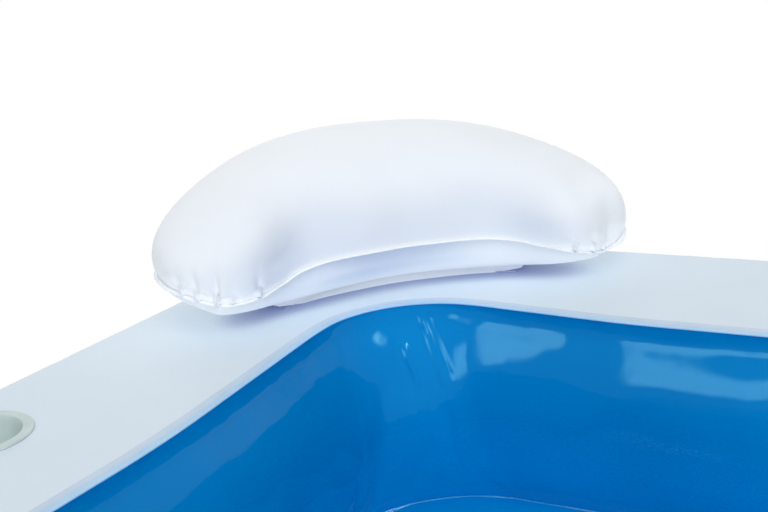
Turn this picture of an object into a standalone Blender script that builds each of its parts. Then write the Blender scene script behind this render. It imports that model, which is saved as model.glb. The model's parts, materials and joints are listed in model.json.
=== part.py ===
# Inflatable family pool: a square ring wall of two stacked air chambers, a flat white top deck,
# a seat in each corner and a bent headrest pillow welded on the deck above each seat.
# Units are metres, +Z is up, and the origin is on the ground under the middle of the pool.

import math

import bmesh
import bpy
from mathutils import Matrix, Vector

MM = 0.001

# Overall size, over the bulging walls
LENGTH = 2130 * MM
WIDTH = 2060 * MM
DECK_HEIGHT = 490 * MM
DIVIDER_HEIGHT = 241 * MM

# Vinyl film and how two sheets meet
FILM = 1.2 * MM
GAP = 0.35 * MM
WELD_LIP = 12 * MM

# Ring wall
DECK_WIDTH = 286 * MM
OUTER_BULGE = 30 * MM
UPPER_INNER_BULGE = 44 * MM
LOWER_INNER_BULGE = 18 * MM
OUTER_CORNER = 360 * MM
DECK_INNER_CORNER = 122 * MM
SEAM_CORNER = 155 * MM
LOBE_X = 32 * MM
LOBE_Y = 18 * MM
LOBE_RUN_X = 340 * MM
LOBE_RUN_Y = 210 * MM
SHOULDER = 14 * MM
DECK_SKIRT = 14 * MM
SIDE_WELD = 9 * MM
CORNER_STEPS = 6
SHOULDER_STEPS = 2
WALL_STEPS = 5

# Air ports, cut through the inner sheets so that one chamber fills as one
PORT_RADIUS = 14 * MM
PORT_SIDES = 8

# Drink holders
CUP_RADIUS = 50 * MM
CUP_FLOOR_RADIUS = 41 * MM
CUP_DEPTH = 100 * MM
CUP_WALL = 1.4 * MM
CUP_RIM = 12 * MM
CUP_RIM_HEIGHT = 1.8 * MM
CUP_HOLE_CLEARANCE = 3.6 * MM
CUP_EDGE_GAP = 6 * MM
CUP_FROM_CORNER = 786 * MM
CUP_SIDES = 20
WEB_CLEARANCE = 10 * MM

# Corner seats
FOOTWELL_GAP = 280 * MM
SEAT_CROWN = 34 * MM
SEAT_FRONT_BOW = 46 * MM
SEAT_FRONT_BULGE = 30 * MM
SEAT_RING_SHARES = (0.45, 0.75, 0.93)
SEAT_CROWN_POWER = 2.6
SEAT_FRONT_STEPS = 8
SEAT_SIDE_STEPS = 2

# Headrest pillows, bent round the corner of the deck
HEADREST_INSET_X = 417 * MM
HEADREST_INSET_Y = 384 * MM
SPINE_RADIUS = 275 * MM
SPINE_HALF_LENGTH = 323 * MM
PILLOW_HALF_WIDTH = 130 * MM
SEAM_RISE = 74 * MM
SEAM_END_RISE = 50 * MM
SEAM_LEAN = 7 * MM
PILLOW_CROWN = 130 * MM
PILLOW_SEAM_LIP = 5 * MM
PILLOW_LEAN_SHARE = 0.06
WIDTH_POWER = 3.0
WIDTH_ROUNDING = 1.9
HEIGHT_POWER = 2.0
HEIGHT_ROUNDING = 2.5
BELLY_END_POWER = 4.3
CROWN_POWER = 2.5
BELLY_POWER = 1.2
PILLOW_STATION_SHARES = (0.2, 0.4, 0.57, 0.72, 0.85, 0.95, 0.985, 1.0)
PILLOW_CORE_SHARE = 0.57
PILLOW_RING_SHARES = (0.42, 0.74, 0.93)
PATCH_HALF_WIDTH = 22 * MM
PATCH_ANGLE_SHARE = 0.55
PATCH_STEPS = 4

# Inflation valves, measured from the flat seat that is welded on the film
SEAT_RADIUS = 19 * MM
SEAT_SINK = 6 * MM
SEAT_PROUD = 1.5 * MM
VALVE_SIDES = 12
VALVE_FLANGE_RADIUS = 17 * MM
VALVE_FLANGE_THICK = 1.2 * MM
STEM_BORE = 5.0 * MM
STEM_WALL = 2.8 * MM
STEM_CLEARANCE = 0.7 * MM
STEM_BELOW = 20 * MM
STEM_ABOVE = 4.0 * MM
STEM_BEAD = 1.8 * MM
STEM_BEAD_HEIGHT = 2.5 * MM
STRAP_WIDTH = 6 * MM
STRAP_REACH = 3.7 * MM
STRAP_THICK = 1.3 * MM
JOIN_SINK = 0.15 * MM
CAP_RIM = 0.8 * MM
CAP_THICK = 1.6 * MM
PLUG_LENGTH = 4.6 * MM
PLUG_CLEARANCE = 0.7 * MM
PLUG_TAPER = 0.4 * MM
FLAP_THICK = 0.8 * MM
FLAP_TAB = 2.0 * MM
CHAMBER_VALVE_OFFSET = 160 * MM
PILLOW_VALVE_SHARE = 0.78

# Drain in the floor
DRAIN_FROM_WALL = 130 * MM
DRAIN_FLANGE_RADIUS = 32 * MM
DRAIN_FLANGE_THICK = 2.0 * MM
DRAIN_BORE = 13 * MM
DRAIN_WALL = 4 * MM
DRAIN_COLLAR = 9 * MM
DRAIN_SIDES = 20

HALF_X = LENGTH / 2 - OUTER_BULGE
HALF_Y = WIDTH / 2 - OUTER_BULGE
DECK_SHEET = DECK_HEIGHT - FILM / 2
ROOT_INSET = DECK_WIDTH - WELD_LIP
STACK = FILM + GAP
CUP_OUTER = CUP_RADIUS + CUP_WALL
CUP_INSET = SHOULDER + CUP_EDGE_GAP + CUP_RADIUS + CUP_RIM
WEB_INSET = CUP_INSET + CUP_OUTER + WEB_CLEARANCE
STEM_OUTER = STEM_BORE + STEM_WALL
VALVE_HOLE = STEM_OUTER + STEM_CLEARANCE
CORNERS = {
    "back_left": (-1, 1),
    "back_right": (1, 1),
    "front_left": (-1, -1),
    "front_right": (1, -1),
}


def clear_scene():
    for obj in list(bpy.data.objects):
        bpy.data.objects.remove(obj)


def vinyl(name, colour, roughness, alpha=1.0):
    material = bpy.data.materials.new(name)
    material.use_nodes = True
    shader = material.node_tree.nodes["Principled BSDF"]
    shader.inputs["Base Color"].default_value = (*colour, 1.0)
    shader.inputs["Roughness"].default_value = roughness
    shader.inputs["Metallic"].default_value = 0.0
    shader.inputs["Alpha"].default_value = alpha
    return material


def add_object(name, mesh, material):
    mesh.materials.append(material)
    obj = bpy.data.objects.new(name, mesh)
    bpy.context.scene.collection.objects.link(obj)
    return obj


def mesh_of(name, points, faces):
    mesh = bpy.data.meshes.new(name)
    mesh.from_pydata([tuple(p) for p in points], [], faces)
    mesh.update()
    return mesh


def give_thickness(obj, thickness=FILM):
    solidify = obj.modifiers.new("film", "SOLIDIFY")
    solidify.thickness = thickness
    solidify.offset = 0.0
    return obj


def shade_round(obj):
    obj.data.shade_smooth()
    return obj


def band(loops, closed=True):
    """Points and quads of a strip through loops of equal length, from the first to the last."""
    count = len(loops[0])
    points = [p for loop in loops for p in loop]
    spans = count if closed else count - 1
    faces = []
    for row in range(len(loops) - 1):
        for k in range(spans):
            a = row * count + k
            b = row * count + (k + 1) % count
            faces.append((a, b, b + count, a + count))
    return points, faces


def ring_loop(inset, radius, height, lobed=None):
    """A rounded rectangle inset from the wall's outer line, counter-clockwise seen from above.
    lobed, a share or None, swells the corners outwards. The swelling fades out along the sides."""
    share = lobed or 0.0
    lobes = LOBE_X * share, LOBE_Y * share
    centre = Vector((HALF_X - inset + lobes[0] - radius, HALF_Y - inset + lobes[1] - radius))
    points = []
    for quarter, (sx, sy) in enumerate(((1, 1), (-1, 1), (-1, -1), (1, -1))):
        middle = Vector((sx * centre.x, sy * centre.y, height))
        arc = []
        for step in range(CORNER_STEPS + 1):
            angle = math.pi / 2 * (quarter + step / CORNER_STEPS)
            arc.append(middle + Vector((math.cos(angle), math.sin(angle), 0)) * radius)
        if lobed is not None:
            straight_x = Vector((sx * (HALF_X - inset), middle.y - sy * LOBE_RUN_X, height))
            straight_y = Vector((middle.x - sx * LOBE_RUN_Y, sy * (HALF_Y - inset), height))
            first, last = (straight_x, straight_y) if sx == sy else (straight_y, straight_x)
            arc = [first, *arc, last]
        points += arc
    return points


def bulge_at(share, depth):
    """How far a blown-up wall stands out at a share of its height: an arc of a circle."""
    return depth * 4 * share * (1 - share)


def outer_radius(inset):
    return OUTER_CORNER - inset


# Cutters and joins


def tube_mesh(name, radius, low, high, sides):
    """A closed cylinder about local Z."""
    mesh = bpy.data.meshes.new(name)
    form = bmesh.new()
    bmesh.ops.create_cone(
        form, cap_ends=True, segments=sides, radius1=radius, radius2=radius, depth=high - low,
        matrix=Matrix.Translation((0, 0, (low + high) / 2)),
    )
    form.to_mesh(mesh)
    form.free()
    return mesh


def helper(name, mesh, place):
    obj = bpy.data.objects.new(name, mesh)
    bpy.context.scene.collection.objects.link(obj)
    obj.matrix_world = place
    obj.hide_render = True
    obj.display_type = "WIRE"
    return obj


def combine(obj, other, operation):
    boolean = obj.modifiers.new(other.name, "BOOLEAN")
    boolean.operation = operation
    boolean.object = other
    boolean.solver = "EXACT"


def drill(obj, label, radius, place, reach, sides):
    """Cuts a round hole through obj about the Z axis of place."""
    cutter = helper(label + "_cutter", tube_mesh(label, radius, -reach, reach, sides), place)
    combine(obj, cutter, "DIFFERENCE")


# Ring wall


def wall_sheet(name, material, low, high, inset, depth, radii, lobes=(None, None), out=1):
    """One film of a chamber wall between two weld lips. out is 1 where it bulges outwards
    from the pool, and -1 where it bulges into it."""
    lip = inset - out * WELD_LIP
    loops = [ring_loop(lip, radii[0] + out * WELD_LIP, low, lobes[0])]
    for step in range(WALL_STEPS + 1):
        share = step / WALL_STEPS
        height = low + (high - low) * share
        radius = radii[0] + (radii[1] - radii[0]) * share
        lobed = None if lobes[0] is None else lobes[0] + (lobes[1] - lobes[0]) * share
        stand = out * bulge_at(share, depth)
        loops.append(ring_loop(inset - stand, radius + stand, height, lobed))
    loops.append(ring_loop(lip, radii[1] + out * WELD_LIP, high, lobes[1]))
    points, faces = band(loops)
    return give_thickness(shade_round(add_object(name, mesh_of(name, points, faces), material)))


def upper_outer_wall(material):
    """The outer film of the upper chamber. Its top runs up inside the deck's skirt."""
    low = DIVIDER_HEIGHT + STACK
    weld_low = DECK_HEIGHT - SHOULDER - DECK_SKIRT
    loops = [ring_loop(-WELD_LIP, OUTER_CORNER + WELD_LIP, low)]
    for step in range(WALL_STEPS + 1):
        share = step / WALL_STEPS
        inset = share * STACK - bulge_at(share, OUTER_BULGE)
        height = low + (weld_low - low) * share
        loops.append(ring_loop(inset, outer_radius(inset), height))
    loops.append(ring_loop(STACK, outer_radius(STACK), weld_low + SIDE_WELD))
    points, faces = band(loops)
    name = "upper_outer_wall"
    return give_thickness(shade_round(add_object(name, mesh_of(name, points, faces), material)))


def flat_ring(name, material, height, outer, inner, outer_corner, inner_corner):
    loops = [ring_loop(outer, outer_corner, height), ring_loop(inner, inner_corner, height)]
    points, faces = band(loops)
    return give_thickness(add_object(name, mesh_of(name, points, faces), material))


def deck_panel(material):
    """The flat white top: inner weld lip, flat, rolled outer shoulder and a short skirt."""
    loops = [ring_loop(DECK_WIDTH, DECK_INNER_CORNER, DECK_SHEET, 1.0)]
    for step in range(SHOULDER_STEPS + 1):
        turn = math.pi / 2 * step / SHOULDER_STEPS
        inset = SHOULDER * (1 - math.sin(turn))
        height = DECK_SHEET - SHOULDER * (1 - math.cos(turn))
        loops.append(ring_loop(inset, outer_radius(inset), height, 0.0))
    loops.append(ring_loop(0, outer_radius(0), DECK_SHEET - SHOULDER - DECK_SKIRT, 0.0))
    points, faces = band(loops)
    mesh = mesh_of("deck_panel", points, faces)
    deck = give_thickness(shade_round(add_object("deck_panel", mesh, material)))
    for side, place in cup_places().items():
        drill(deck, "deck_hole_" + side, CUP_OUTER + CUP_HOLE_CLEARANCE, place, SHOULDER, CUP_SIDES)
    return deck


def web(name, material, low, high):
    """The inner I-beam web that ties the sheet below to the sheet above, with air ports."""
    radius = outer_radius(WEB_INSET)
    loops = [ring_loop(WEB_INSET, radius, z) for z in (low, high)]
    points, faces = band(loops)
    obj = give_thickness(add_object(name, mesh_of(name, points, faces), material))
    middle = (low + high) / 2
    for side, turn in (("x", math.pi / 2), ("y", 0.0)):
        for end in (-1, 1):
            if side == "x":
                spot = (end * (HALF_X - WEB_INSET), 0, middle)
            else:
                spot = (0, end * (HALF_Y - WEB_INSET), middle)
            upright = Matrix.Rotation(math.pi / 2, 4, "X")
            place = Matrix.Translation(spot) @ Matrix.Rotation(turn, 4, "Z") @ upright
            drill(obj, f"{name}_port_{side}{end + 1}", PORT_RADIUS, place, WELD_LIP, PORT_SIDES)
    return obj


def floor_sheet(material):
    """The bare floor, one film that meets the base ring under the inner wall's weld lip."""
    edge = ring_loop(DECK_WIDTH - WELD_LIP / 2 + GAP, SEAM_CORNER, FILM / 2)
    mesh = mesh_of("floor_sheet", edge, [tuple(range(len(edge)))])
    floor = give_thickness(add_object("floor_sheet", mesh, material))
    drill(floor, "drain_hole", DRAIN_BORE, drain_place(), SHOULDER, DRAIN_SIDES)
    return floor


def seat_ports(wall):
    """Round ports that let the lower chamber fill the four corner seats."""
    reach = OUTER_BULGE * 2
    for label, (sx, sy) in CORNERS.items():
        from_middle = HALF_Y - ROOT_INSET - SEAM_CORNER - PORT_RADIUS * 2
        spot = Vector((sx * (HALF_X - ROOT_INSET), sy * from_middle, 0))
        spot.z = DIVIDER_HEIGHT / 2
        place = Matrix.Translation(spot) @ Matrix.Rotation(math.pi / 2, 4, "Y")
        drill(wall, "seat_port_" + label, PORT_RADIUS, place, reach, PORT_SIDES)


# Drink holders


def cup_places():
    """Where the two holders stand: their axis and the deck's top face."""
    x = HALF_X - CUP_INSET
    y = HALF_Y - CUP_FROM_CORNER
    return {
        "left": Matrix.Translation((-x, y, DECK_HEIGHT)),
        "right": Matrix.Translation((x, -y, DECK_HEIGHT)),
    }


def turned(name, profile, sides, material, place):
    """An outline of (radius, height) points, turned about local Z. It starts and ends on the axis,
    or else it is closed."""
    loops = []
    for radius, height in profile:
        angles = [math.tau * k / sides for k in range(sides)]
        loops.append([(radius * math.cos(a), radius * math.sin(a), height) for a in angles])
    if profile[0][0]:
        loops.append(loops[0])
    points, faces = band(loops)
    mesh = mesh_of(name, points, faces)
    form = bmesh.new()
    form.from_mesh(mesh)
    bmesh.ops.remove_doubles(form, verts=form.verts, dist=GAP / 100)
    bmesh.ops.recalc_face_normals(form, faces=form.faces)
    form.to_mesh(mesh)
    form.free()
    obj = shade_round(add_object(name, mesh, material))
    obj.matrix_world = place
    return obj


def cup_holder(side, material):
    """A tapered cup with a flat welded rim, hung in the deck's hole. Its floor is solid."""
    low = -CUP_DEPTH
    rim_low = GAP
    rim_top = GAP + CUP_RIM_HEIGHT
    profile = [
        (0, low + CUP_WALL),
        (CUP_FLOOR_RADIUS, low + CUP_WALL),
        (CUP_RADIUS, rim_top),
        (CUP_RADIUS + CUP_RIM, rim_top),
        (CUP_RADIUS + CUP_RIM, rim_low),
        (CUP_OUTER, rim_low),
        (CUP_FLOOR_RADIUS + CUP_WALL, low),
        (0, low),
    ]
    return turned("cup_holder_" + side, profile, CUP_SIDES, material, cup_places()[side])


# Corner seats


def corner_point(corner, inset_x, inset_y, height):
    """A point given by its insets from the two outer lines that meet at a corner."""
    sx, sy = corner
    return Vector((sx * (HALF_X - inset_x), sy * (HALF_Y - inset_y), height))


def seat_reach():
    """How far a seat's front runs along each wall, as insets from the corner's outer lines."""
    return HALF_X - FOOTWELL_GAP / 2, HALF_Y - FOOTWELL_GAP / 2


def front_line(low_end, high_end, bow, share):
    """A point at a share of the bowed line between two ends, in insets, bowing into the pool."""
    a = Vector(low_end)
    b = Vector(high_end)
    along = b - a
    across = Vector((abs(along.y), abs(along.x))).normalized()
    return a + along * share + across * bulge_at(share, bow)


def seat_outline(edge):
    """Insets of the seat's edge, from one wall round the corner to the other, then along the front."""
    reach_x, reach_y = seat_reach()
    radius = SEAM_CORNER - (edge - DECK_WIDTH)
    side = (reach_y - edge - radius) / SEAT_SIDE_STEPS
    points = [(edge, reach_y - side * k) for k in range(SEAT_SIDE_STEPS)]
    for step in range(CORNER_STEPS + 1):
        angle = math.pi + math.pi / 2 * step / CORNER_STEPS
        points.append((edge + radius * (1 + math.cos(angle)), edge + radius * (1 + math.sin(angle))))
    start = edge + radius
    for k in range(1, SEAT_SIDE_STEPS + 1):
        points.append((start + (reach_x - start) * k / SEAT_SIDE_STEPS, edge))
    for k in range(1, SEAT_FRONT_STEPS):
        share = k / SEAT_FRONT_STEPS
        points.append(tuple(front_line((reach_x, edge), (edge, reach_y), SEAT_FRONT_BOW, share)))
    return points


def crown_at(share, power):
    """Height share of a pillow at a share of the way from its middle line to its seam."""
    return math.sqrt(max(0.0, 1 - share**power))


def seat_top(label, corner, material):
    outline = seat_outline(DECK_WIDTH + GAP + FILM / 2)
    middle = Vector((sum(p[0] for p in outline), sum(p[1] for p in outline))) / len(outline)
    shares = (*SEAT_RING_SHARES, 1.0)
    loops = []
    for share in shares:
        height = DIVIDER_HEIGHT + SEAT_CROWN * crown_at(share, SEAT_CROWN_POWER)
        ring = [middle + (Vector(p) - middle) * share for p in outline]
        loops.append([corner_point(corner, p[0], p[1], height) for p in ring])
    points, faces = band(loops)
    centre = len(points)
    points.append(corner_point(corner, middle[0], middle[1], DIVIDER_HEIGHT + SEAT_CROWN))
    count = len(outline)
    faces += [(centre, (k + 1) % count, k) for k in range(count)]
    name = "seat_" + label + "_top"
    mesh = mesh_of(name, points, faces)
    face_out(mesh)
    return give_thickness(shade_round(add_object(name, mesh, material)))


def face_out(mesh):
    form = bmesh.new()
    form.from_mesh(mesh)
    bmesh.ops.recalc_face_normals(form, faces=form.faces)
    form.to_mesh(mesh)
    form.free()


def lower_wall_inset(share):
    """Inset of the pool-side face of the lower inner wall, or of its weld lips if they stand out more."""
    return max(ROOT_INSET + bulge_at(share, LOWER_INNER_BULGE) + FILM / 2, DECK_WIDTH)


def seat_front(label, corner, material):
    """The film below the seat's front edge. Its ends follow the bulge of the wall."""
    low = FILM + GAP
    high = DIVIDER_HEIGHT - FILM / 2 - GAP
    reach_x, reach_y = seat_reach()
    loops = []
    for step in range(WALL_STEPS + 1):
        share = step / WALL_STEPS
        edge = lower_wall_inset(share) + FILM / 2 + GAP
        bow = SEAT_FRONT_BOW + bulge_at(share, SEAT_FRONT_BULGE)
        ends = (reach_x, edge), (edge, reach_y)
        line = [front_line(*ends, bow, k / SEAT_FRONT_STEPS) for k in range(SEAT_FRONT_STEPS + 1)]
        loops.append([corner_point(corner, p[0], p[1], low + (high - low) * share) for p in line])
    points, faces = band(loops, closed=False)
    name = "seat_" + label + "_front"
    mesh = mesh_of(name, points, faces)
    face_out(mesh)
    return give_thickness(shade_round(add_object(name, mesh, material)))


# Headrest pillows


def spine_frame(share):
    """A point of the pillow's middle line, in insets, with the directions away from the pool and along."""
    angle = math.pi * 5 / 4 + SPINE_HALF_LENGTH / SPINE_RADIUS * share
    away = Vector((math.cos(angle), math.sin(angle)))
    along = Vector((-away.y, away.x))
    return Vector((HEADREST_INSET_X, HEADREST_INSET_Y)) + away * SPINE_RADIUS, away, along


def rounded(share, power, rounding):
    """Falls from 1 in the middle to 0 at the end, full for most of the way and blunt at the end."""
    return max(0.0, 1 - abs(share) ** power) ** (1 / rounding)


def pillow_half_width(share):
    """The pillow is a little fuller towards one end than towards the other."""
    return PILLOW_HALF_WIDTH * (1 - PILLOW_LEAN_SHARE * share) * rounded(share, WIDTH_POWER, WIDTH_ROUNDING)


def pillow_height(share, across, side):
    """Height above the deck of the upper (side 1) or lower (side -1) film's middle."""
    half = pillow_half_width(share)
    out = min(1.0, abs(across) / half) if half else 1.0
    seam = SEAM_RISE + (SEAM_END_RISE - SEAM_RISE) * abs(share) ** 3 - SEAM_LEAN * share
    apart = FILM / 2 + GAP / 2
    if side > 0:
        fullness = 1 - PILLOW_LEAN_SHARE * share
        crown = PILLOW_CROWN * fullness * rounded(share, HEIGHT_POWER, HEIGHT_ROUNDING)
        return seam + apart + crown * crown_at(out, CROWN_POWER)
    lowest = STACK + GAP + FILM / 2
    belly = (seam - apart - lowest) * rounded(share, BELLY_END_POWER, 2)
    return seam - apart - belly * crown_at(out, BELLY_POWER)


def pillow_rim():
    """(share of the spine, distance across it) round the seam, one way round, with both tips once."""
    ahead = [*reversed(PILLOW_STATION_SHARES), 0.0]
    shares = ahead + [-share for share in PILLOW_STATION_SHARES]
    outer = [(share, pillow_half_width(share)) for share in shares]
    inner = [(share, -pillow_half_width(share)) for share in reversed(shares[1:-1])]
    return outer + inner


def core_share(share):
    """The nearest place on the middle line's core, which ends before the round ends begin."""
    return max(-PILLOW_CORE_SHARE, min(PILLOW_CORE_SHARE, share))


def pillow_point(corner, share, across, side):
    """A point of the upper (side 1) or lower (side -1) film."""
    middle, away, _ = spine_frame(share)
    spot = middle + away * across
    return corner_point(corner, spot.x, spot.y, DECK_HEIGHT + pillow_height(share, across, side))


def seam_point(share, across):
    """A point of the seam line in insets, on the outer side for a positive distance across."""
    middle, away, _ = spine_frame(share)
    return middle + away * math.copysign(pillow_half_width(share), across)


def seam_lip_point(corner, share, across, side):
    """A point of the lip outside the seam, straight out from the seam line."""
    middle, away, along = spine_frame(share)
    if abs(share) == 1:
        out = along * share
    else:
        step = min(PILLOW_SEAM_LIP / SPINE_HALF_LENGTH, 1 - abs(share))
        run = (seam_point(share + step, across) - seam_point(share - step, across)).normalized()
        out = Vector((run.y, -run.x)) * math.copysign(1, across)
    spot = middle + away * across + out * PILLOW_SEAM_LIP
    return corner_point(corner, spot.x, spot.y, DECK_HEIGHT + pillow_height(share, across, side))


def pillow_panel(label, corner, side, material):
    """One film of a pillow: crowned, with a flat lip round its seam."""
    rim = pillow_rim()
    loops = []
    for out in (*PILLOW_RING_SHARES, 1.0):
        ring = []
        for share, across in rim:
            core = core_share(share)
            ring.append(pillow_point(corner, core + (share - core) * out, across * out, side))
        loops.append(ring)
    loops.append([seam_lip_point(corner, *place, side) for place in rim])
    points, faces = band(loops)
    cores = [core_share(share) for share, _ in rim]
    spine = sorted(set(cores))
    first = len(points)
    points += [pillow_point(corner, share, 0.0, side) for share in spine]
    for k in range(len(rim)):
        ahead = (k + 1) % len(rim)
        face = (k, ahead, first + spine.index(cores[ahead]), first + spine.index(cores[k]))
        faces.append(tuple(dict.fromkeys(face)))
    name = "headrest_" + label + ("_upper_panel" if side > 0 else "_lower_panel")
    mesh = mesh_of(name, points, faces)
    face_out(mesh)
    return give_thickness(shade_round(add_object(name, mesh, material)))


def weld_patch(label, corner, material):
    """The strip that welds the pillow's belly to the deck."""
    height = DECK_HEIGHT + GAP + FILM / 2
    rows = []
    for step in range(-PATCH_STEPS, PATCH_STEPS + 1):
        middle, away, _ = spine_frame(PATCH_ANGLE_SHARE * step / PATCH_STEPS)
        edges = [middle + away * PATCH_HALF_WIDTH, middle - away * PATCH_HALF_WIDTH]
        rows.append([corner_point(corner, p.x, p.y, height) for p in edges])
    points, faces = band(rows, closed=False)
    name = "headrest_" + label + "_weld_patch"
    mesh = mesh_of(name, points, faces)
    face_out(mesh)
    return give_thickness(add_object(name, mesh, material))


# Valves and drain


def frame_at(origin, outward, up_hint):
    """A place whose Z points out of the film and whose X points as far up the film as it can."""
    z = outward.normalized()
    x = (up_hint - z * up_hint.dot(z)).normalized()
    y = z.cross(x)
    rotation = Matrix((x, y, z)).transposed().to_4x4()
    return Matrix.Translation(origin) @ rotation


def pillow_valve_place(corner):
    """On the pillow's back, where the film slopes away from the pool."""
    out = PILLOW_HALF_WIDTH * PILLOW_VALVE_SHARE
    step = WELD_LIP / 100
    here = pillow_point(corner, 0.0, out, 1)
    down = pillow_point(corner, 0.0, out + step, 1) - here
    side = pillow_point(corner, step / SPINE_HALF_LENGTH, out, 1) - here
    normal = down.cross(side).normalized()
    if normal.z < 0:
        normal = -normal
    return frame_at(here + normal * (FILM / 2 + SEAT_PROUD), normal, Vector((0, 0, 1)))


def chamber_valve_place(low, high, end):
    """On the middle of an outer wall, at the fullest height of its chamber."""
    outward = Vector((0, end, 0))
    proud = FILM / 2 + SEAT_PROUD
    origin = Vector((CHAMBER_VALVE_OFFSET * end, end * (HALF_Y + OUTER_BULGE + proud), (low + high) / 2))
    return frame_at(origin, outward, Vector((0, 0, 1)))


def valve_seat(panel, label, place):
    """A round flat seat on the film, with the hole that the stem slides in."""
    low = -SEAT_SINK
    seat = helper(label + "_seat", tube_mesh(label + "_seat", SEAT_RADIUS, low, 0.0, VALVE_SIDES), place)
    combine(panel, seat, "UNION")
    drill(panel, label + "_hole", VALVE_HOLE, place, SEAT_SINK * 2, VALVE_SIDES)


def box_part(name, low, high):
    """A closed box from one corner to the other."""
    mesh = bpy.data.meshes.new(name)
    form = bmesh.new()
    bmesh.ops.create_cube(form, size=1.0)
    size = Vector(high) - Vector(low)
    centre = (Vector(high) + Vector(low)) / 2
    spread = Matrix.Translation(centre) @ Matrix.Diagonal((*size, 1.0))
    bmesh.ops.transform(form, matrix=spread, verts=form.verts)
    form.to_mesh(mesh)
    form.free()
    return mesh


def pin_origin(obj, place, local):
    """Puts the object's origin on its joint's axis, with the mesh left where it is."""
    shift = Matrix.Translation(local)
    obj.data.transform(shift.inverted())
    obj.matrix_world = place @ shift


def hinge_local(bore, wall, top, reach):
    """Where a cap's strap bends: past the rim on the low side, at the face the cap closes on."""
    return Vector((-(bore + wall + reach), 0, top + GAP / 2))


def cap_part(name, material, place, bore, wall, top, sides, scale=1.0):
    """A round cap with a tapered plug and a strap, hinged at the strap's end. scale sizes the
    cap's own details for a larger fitting."""
    disc = bore + wall + CAP_RIM * scale
    low = top + GAP
    plug = bore - PLUG_CLEARANCE * scale
    tip = plug - PLUG_TAPER * scale
    profile = [
        (0, low - PLUG_LENGTH * scale),
        (tip, low - PLUG_LENGTH * scale),
        (plug, low),
        (disc, low),
        (disc, low + CAP_THICK * scale),
        (0, low + CAP_THICK * scale),
    ]
    cap = turned(name, profile, sides, material, Matrix.Identity(4))
    hinge = hinge_local(bore, wall, top, STRAP_REACH * scale)
    width = STRAP_WIDTH * scale / 2
    strap_low = low + JOIN_SINK * scale
    strap_high = strap_low + STRAP_THICK * scale
    strap = box_part(name + "_strap", (hinge.x, -width, strap_low), (-bore, width, strap_high))
    pin_origin(cap, place, hinge)
    combine(cap, helper(name + "_strap", strap, place), "UNION")
    return cap


def lug(obj, name, place, bore, wall, top, scale=1.0):
    """The ear under a cap's strap, joined to the rim that the cap closes."""
    hinge = hinge_local(bore, wall, top, STRAP_REACH * scale)
    width = STRAP_WIDTH * scale / 2
    inner = -(bore + wall / 2)
    high = top - JOIN_SINK * scale
    ear = box_part(name, (hinge.x, -width, high - STRAP_THICK * scale), (inner, width, high))
    combine(obj, helper(name, ear, place), "UNION")


def valve(label, place, materials):
    """Flange, sliding stem, hinged cap and non-return flap."""
    low = GAP
    high = GAP + VALVE_FLANGE_THICK
    flange = [
        (VALVE_HOLE, low),
        (VALVE_HOLE, high),
        (VALVE_FLANGE_RADIUS, high),
        (VALVE_FLANGE_RADIUS, low),
    ]
    turned(label + "_valve_flange", flange, VALVE_SIDES, materials["clear"], place)
    bottom = -STEM_BELOW
    bead_top = bottom + STEM_BEAD_HEIGHT
    stem_profile = [
        (STEM_BORE, bottom),
        (STEM_BORE, STEM_ABOVE),
        (STEM_OUTER, STEM_ABOVE),
        (STEM_OUTER, bead_top),
        (STEM_OUTER + STEM_BEAD, bead_top),
        (STEM_OUTER + STEM_BEAD, bottom),
    ]
    stem = turned(label + "_valve_stem", stem_profile, VALVE_SIDES, materials["clear"], place)
    lug(stem, label + "_lug", place, STEM_BORE, STEM_WALL, STEM_ABOVE)
    cap_part(label + "_valve_cap", materials["clear"], place, STEM_BORE, STEM_WALL, STEM_ABOVE, VALVE_SIDES)
    flap_top = bottom - GAP
    flap_low = flap_top - FLAP_THICK
    edge = STEM_BORE + STEM_WALL / 2
    disc = tube_mesh(label + "_valve_flap", edge, flap_low, flap_top, VALVE_SIDES)
    flap = shade_flat(add_object(label + "_valve_flap", disc, materials["clear"]))
    near = (0, -STRAP_WIDTH / 2, flap_low + JOIN_SINK)
    far = (edge + FLAP_TAB, STRAP_WIDTH / 2, flap_top - JOIN_SINK)
    tab = box_part(label + "_flap_tab", near, far)
    pin_origin(flap, place, flap_hinge_local())
    combine(flap, helper(label + "_flap_tab", tab, place), "UNION")


def shade_flat(obj):
    obj.data.shade_flat()
    return obj


def flap_hinge_local():
    """The end of the flap's tab, just under the stem's lower face."""
    return Vector((STEM_BORE + STEM_WALL / 2 + FLAP_TAB, 0, -STEM_BELOW - GAP / 2))


def drain_place():
    """On the floor's top face, between the two front seats."""
    y = -(HALF_Y - DECK_WIDTH - DRAIN_FROM_WALL)
    return Matrix.Translation((0, y, FILM))


def drain(materials):
    """A flange welded on the floor, with a collar that the cap closes."""
    low = GAP
    flange_top = low + DRAIN_FLANGE_THICK
    top = flange_top + DRAIN_COLLAR
    outer = DRAIN_BORE + DRAIN_WALL
    profile = [
        (DRAIN_BORE, low),
        (DRAIN_BORE, top),
        (outer, top),
        (outer, flange_top),
        (DRAIN_FLANGE_RADIUS, flange_top),
        (DRAIN_FLANGE_RADIUS, low),
    ]
    scale = DRAIN_BORE / STEM_BORE / 2
    place = drain_place()
    flange = turned("drain_flange", profile, DRAIN_SIDES, materials["white"], place)
    lug(flange, "drain_lug", place, DRAIN_BORE, DRAIN_WALL, top, scale)
    cap_part("drain_cap", materials["white"], place, DRAIN_BORE, DRAIN_WALL, top, DRAIN_SIDES, scale)


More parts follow.
